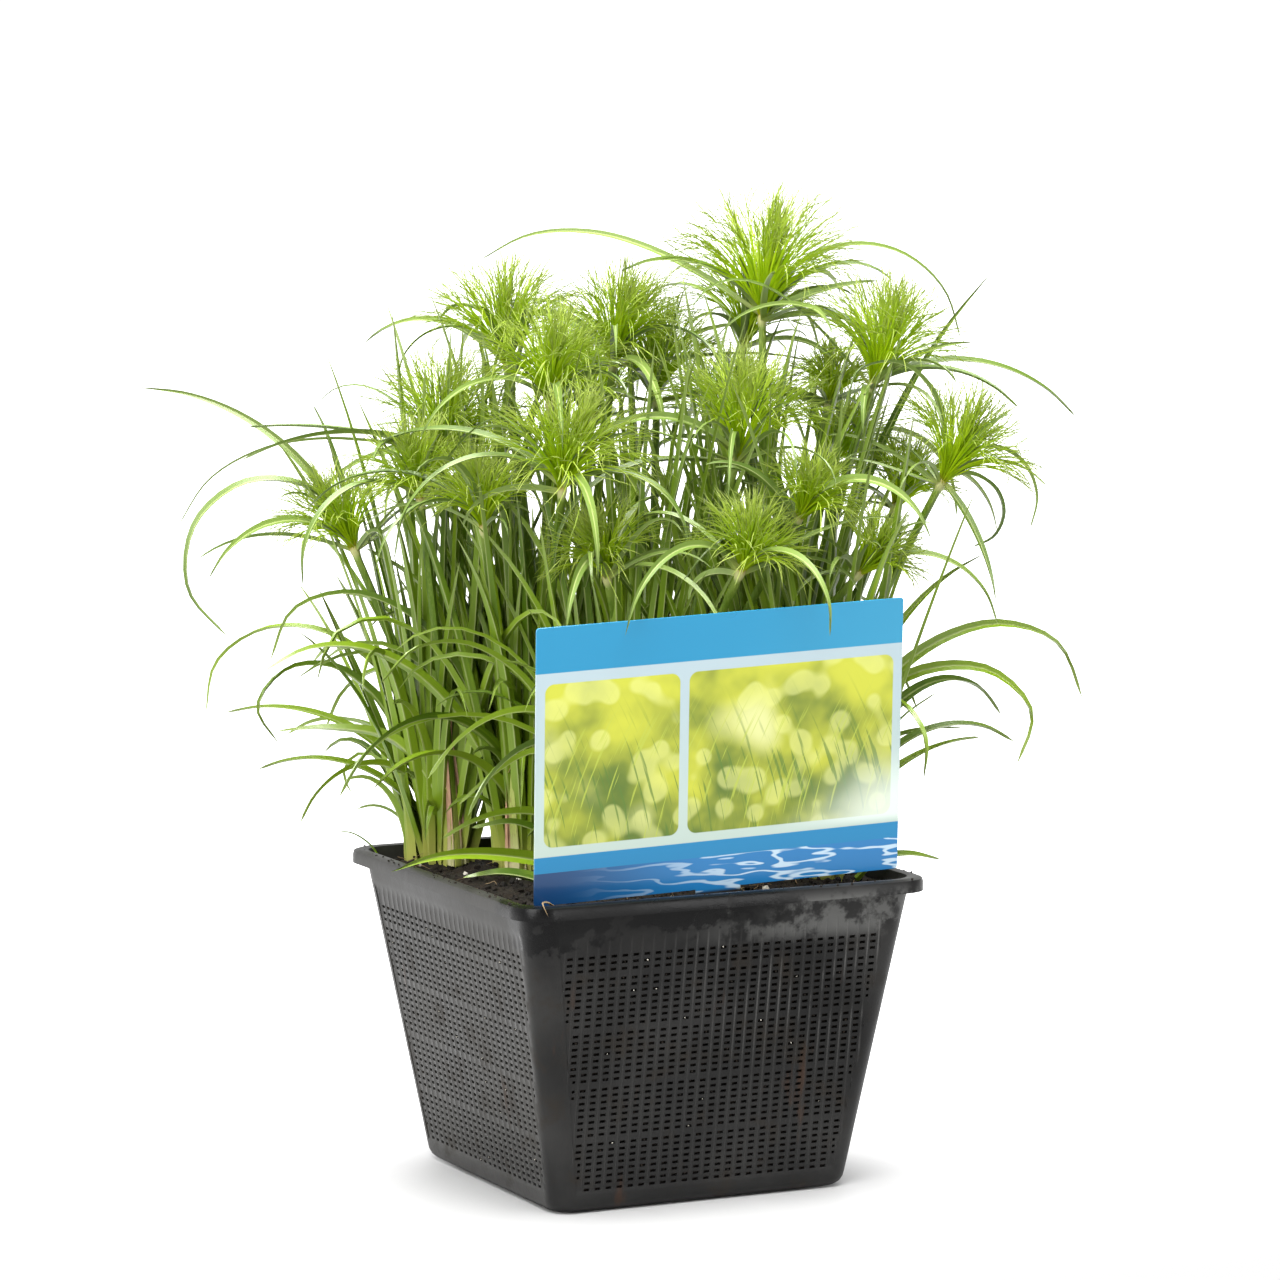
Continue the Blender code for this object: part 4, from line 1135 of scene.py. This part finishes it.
leaf_green = leaf_skin("basal_leaf_green", (0.04, 0.096, 0.002), (0.225, 0.342, 0.014),
                       (0.45, 0.465, 0.105), (0.19, 0.25, 0.065))
CLUMPS = sorted(name[7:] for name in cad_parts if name.startswith("leaves_"))
for order, clump in enumerate(CLUMPS):
    tuft = make_tuft(clump, order, [leaf_green])
    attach(tuft, "root")
    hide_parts(f"leaves_{clump}")


# ---- heads -----------------------------------------------------------------------------------
# The umbel on each culm: a pale collar, leaf-like bracts that arch out below, and a dense broom
# of thin green rays. Each ray parts near its end into a few hair-fine threads.

RAYS = 132  # on a head whose rays reach 0.081 m
RAY_RADIUS, THREAD_RADIUS = 0.00064, 0.00032
LOOSE_RAYS = 0.3  # the share that leaves the broom and spreads wide
RAY_STEPS, THREAD_STEPS = 5, 5
BRACT_STEPS, BRACT_SECTIONS = 24, 5
BRACT_WIDTH = 0.0058
BROOM_LEAN, BROOM_SPREAD = 0.2, (0.36, 0.52)  # radians: off the culm's line, and of its rays
BROOM_LIMIT, LOOSE_SPREAD = 1.2, (0.5, 1.35)
SLIM_FROM = 0.13  # a longer bract than this is narrower
EXTRA_BRACTS, BRACT_TRIES = 6, 150
COLLAR_RADII = (0.0022, 0.0024, 0.0027, 0.003, 0.0031, 0.0029, 0.0024, 0.0014)
COLLAR_FOOT, COLLAR_LENGTH = 0.0085, 0.012  # how far below the knot it starts
ray_shape = strand("ray_shape", TRIANGLE, RAY_STEPS)
thread_shape = strand("thread_shape", TRIANGLE, THREAD_STEPS)
bract_shape = strand("bract_shape", CHANNEL, BRACT_STEPS)
collar_shape = strand("collar_shape", [
    (math.cos(math.tau * k / 10), math.sin(math.tau * k / 10)) for k in range(10)
], len(COLLAR_RADII) - 1, pointed=False)


def bowed(start, middle, end, steps):
    t = np.linspace(0, 1, steps + 1)[:, None]
    return (1 - t) ** 2 * start + 2 * t * (1 - t) * middle + t**2 * end


def any_side(direction):
    other = (0, 0, 1) if abs(direction[2]) < 0.9 else (1, 0, 0)
    return unit(np.cross(direction, other))


def nudged(draw, direction, most):
    """A direction turned by up to most radians, anywhere round."""
    side = any_side(direction)
    other = np.cross(direction, side)
    turn, off = draw.uniform(0, math.tau), most * math.sqrt(draw.random())
    return unit(direction + math.tan(off) * (side * math.cos(turn) + other * math.sin(turn)))


def add_ray(bunch, draw, knot, axis, tip):
    """A stalk from the knot towards the tip, and the threads that it parts into."""
    reach = np.linalg.norm(tip - knot)
    out = (tip - knot) / reach
    spread = unit(out - axis * (out @ axis) + 1e-6)
    open_ = math.sqrt(max(0.0, 1 - (out @ axis) ** 2))
    start = knot + spread * draw.uniform(0.0003, 0.0026) + axis * draw.uniform(-0.0015, 0.002)
    middle = knot + unit(axis * (0.5 + 1.3 * open_) + out) * reach * 0.55
    whole = bowed(start, middle, tip, 10)
    part = draw.choice((4, 5, 5, 6, 6, 7))
    stalk = smooth_line(whole[:part + 1], RAY_STEPS)
    thick = np.interp(np.linspace(0, 1, RAY_STEPS + 1), [0, 0.5, 0.9, 1], [0.5, 1.0, 0.9, 0.5])
    thick = thick * RAY_RADIUS * draw.uniform(0.7, 1.15)
    bunch.add(ray_shape, stalk, any_side(out), thick, thick, along=(0.0, part / 10))
    ahead = unit(whole[part] - whole[part - 1])
    root = whole[part] - ahead * 0.002
    left = np.linalg.norm(tip - root)
    for k in range(draw.choice((3, 4, 4, 5))):
        end = tip
        if k:
            end = root + nudged(draw, unit(tip - root), 0.62) * left * draw.uniform(0.6, 1.15)
            end[2] -= left * draw.uniform(-0.05, 0.25) * open_
            far = np.linalg.norm(end - knot)
            end = knot + (end - knot) * min(1.0, reach * 1.04 / far)
        bend = root + nudged(draw, ahead, 0.3) * left * draw.uniform(0.35, 0.6)
        thread = bowed(root, bend, end, THREAD_STEPS)
        fine = THREAD_RADIUS * draw.uniform(0.75, 1.15) * np.linspace(1.1, 0.7, THREAD_STEPS + 1)
        bunch.add(thread_shape, thread, any_side(ahead), fine, fine, along=(part / 10, 1.0))


def make_head(number, surfaces):
    draw = random.Random(500 + number)
    knot, blades, rays = read_blades(f"umbel_{number:02d}", BRACT_SECTIONS)
    culm = culm_line(f"stem_{number:02d}")
    axis = unit(np.array(culm[-1] - culm[-2]))
    bunch = Bunch()
    longest = max(np.linalg.norm(tip - knot) for tip in rays)

    up = np.linspace(0, 1, len(COLLAR_RADII))[:, None] * COLLAR_LENGTH - COLLAR_FOOT
    bunch.add(collar_shape, knot + axis * up, any_side(axis), COLLAR_RADII, COLLAR_RADII, slot=2)

    middle, spread = nudged(draw, axis, BROOM_LEAN), draw.uniform(*BROOM_SPREAD)
    side = any_side(middle)
    other = np.cross(middle, side)
    for n in range(int(RAYS * (0.55 + 0.5 * longest / 0.09))):
        if n < len(rays):
            tip = rays[n]
        else:
            loose = draw.random() < LOOSE_RAYS
            if loose:
                opened = draw.uniform(*LOOSE_SPREAD)
            else:
                opened = min(BROOM_LIMIT, abs(draw.gauss(0, spread)))
            turn, least = draw.uniform(0, math.tau), 0.8 if loose else 0.6
            out = middle * math.cos(opened) + math.sin(opened) * (
                side * math.cos(turn) + other * math.sin(turn))
            tip = knot + out * longest * draw.uniform(least, 1.0)
        add_ray(bunch, draw, knot, axis, tip)

    for line, side in blades:
        whole = smooth_line(np.vstack([knot, line]), BRACT_STEPS)
        face = to_camera(whole, side, FACED_SHARE if is_faced(whole) else draw.uniform(0.0, 1.0))
        slim = draw.uniform(0.7, 1.25) * min(1.0, SLIM_FROM / np.linalg.norm(line[-1] - knot))
        width = BRACT_WIDTH * (1.0 if is_faced(whole) else slim)
        lay_blade(bunch, draw, bract_shape, whole, face, width, slot=1)
    made = 0
    for _ in range(BRACT_TRIES):
        turn = draw.uniform(0, math.tau)
        line = arching(draw, knot - axis * 0.003, turn, draw.uniform(0.1, 1.1),
                       draw.uniform(0.4, 2.0), longest * (0.8 + 1.4 * draw.random() ** 1.5))
        if blocked(line) or outside(line):
            continue
        lay_blade(bunch, draw, fill_shape, smooth_line(line, FILL_STEPS),
                  level(turn + math.pi / 2), BRACT_WIDTH * draw.uniform(0.5, 1.2),
                  turn=1.0, slot=1)
        made += 1
        if made == EXTRA_BRACTS:
            break
    return bunch.build(f"papyrus_head_{number:02d}", *surfaces)


def ray_skin():
    made, place = new_finish("fresh_ray_green", 0.17)
    along, _, each = growth_of(place)
    mottle = place.noise(160.0, 2.0)
    core = each.blend((0.265, 0.44, 0.002), (0.465, 0.64, 0.006))
    colour = core.under(
        (along.rise(0.4, 0.9), each.blend((0.28, 0.4, 0.024), (0.45, 0.54, 0.1))),
        (along.rise(0.7, 1.0) * 0.6, (0.27, 0.32, 0.11)),
        (along.rise(0.1, 0.02) * (0.25 + each * 0.5), (0.3, 0.17, 0.02)),
        (mottle.rise(0.5, 0.8) * 0.3, (0.46, 0.56, 0.03)),
    )
    finished(made, colour, 0.42 + mottle * 0.16)
    return mixed(made, 0.3, "BsdfTranslucent", (0.4, 0.53, 0.01, 1.0))


def collar_skin():
    made, place = new_finish("pale_collar", 0.4)
    along, _, _ = growth_of(place)
    blush = place.noise(700.0, 3.0)
    colour = along.rise(0.05, 0.45).blend((0.2, 0.29, 0.05), (0.42, 0.43, 0.17)).under(
        (along.rise(0.55, 0.95), (0.33, 0.24, 0.035)),
        (blush.rise(0.56, 0.76) * 0.4, (0.4, 0.23, 0.12)),
    )
    return finished(made, colour, 0.4 + blush * 0.2)


bract_green = leaf_skin("bract_green", (0.066, 0.124, 0.012), (0.18, 0.258, 0.05),
                        (0.33, 0.39, 0.08), (0.155, 0.21, 0.07))
head_surfaces = [ray_skin(), bract_green, collar_skin()]
for number in NUMBERS:
    head = make_head(number, head_surfaces)
    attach(head, "root")
    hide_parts(f"umbel_{number:02d}")


# ---- floor, light and camera -------------------------------------------------------------------
# A white studio table under one broad overhead light, with two weaker ones from the left and the
# right. The camera looks a little down on one corner of the basket.

FLOOR_HALF = 30.0
DIM_CENTRE, DIM_RADII = (-0.06, -0.08, 0.0), (0.12, 0.31)  # the table glows white outside these


def make_floor():
    bm = bmesh.new()
    bmesh.ops.create_grid(bm, x_segments=1, y_segments=1, size=FLOOR_HALF)
    made, place = new_finish("white_table", 0.3)
    grain = place.noise(3.0, 2.0)
    finished(made, grain.blend((0.44, 0.44, 0.438), (0.45, 0.45, 0.448)), 0.5 + grain * 0.1)
    aside = place.node("VectorMath", {"operation": "SUBTRACT"}, {0: place, 1: DIM_CENTRE})
    far = place.node("VectorMath", {"operation": "LENGTH"}, {0: aside}, "Value").rise(*DIM_RADII)
    _, y, _ = place.axes()
    mixed(made, far, "Emission", y.rise(-0.4, 0.5).blend((1.0, 1.0, 1.0), (2.3, 2.3, 2.3)))
    return new_object("studio_floor", bm, made)


def aim(thing, place, target):
    thing.location = place
    thing.rotation_euler = (Vector(place) - Vector(target)).to_track_quat("Z", "Y").to_euler()


def add_light(name, place, target, size, power):
    lamp = bpy.data.lights.new(name, "AREA")
    lamp.shape, lamp.size, lamp.energy = "DISK", size, power
    aim(linked(name, lamp), place, target)


def make_world():
    """A white studio, brighter behind the table than in front of it, and white to the camera."""
    world = bpy.data.worlds.new("white_studio")
    world.use_nodes = True
    tree = world.node_tree
    sky = tree.nodes["Background"]
    seen = Wire(tree).node("LightPath", {}, {}, "Is Camera Ray")
    _, y, _ = seen.node("TexCoord", {}, {}, "Generated").axes()
    power = 0.22 + y.rise(-0.5, 0.6) * 1.0
    power = seen * 1.1 + (1 - seen) * power
    sky.inputs["Color"].default_value = (1.0, 1.0, 1.0, 1.0)
    tree.links.new(power.socket, sky.inputs["Strength"])
    return world


make_floor()
add_light("overhead_softbox", (-0.3, -0.5, 2.2), (0, 0, 0.2), 1.6, 130.0)
add_light("left_softbox", (-2.2, -1.6, 1.2), (0, 0, 0.3), 1.8, 60.0)
add_light("right_softbox", (1.1, -2.3, 0.5), (0, 0, 0.2), 0.8, 10.0)
bpy.context.scene.world = make_world()
bpy.context.scene.view_settings.view_transform = "Standard"

lens = bpy.data.cameras.new("studio_camera")
lens.lens, lens.sensor_width = 152.07, 36.0
camera = linked("studio_camera", lens)
aim(camera, (-1.4627, -3.0388, 0.7243), (0.0037, -0.0018, 0.3387))
bpy.context.scene.camera = camera
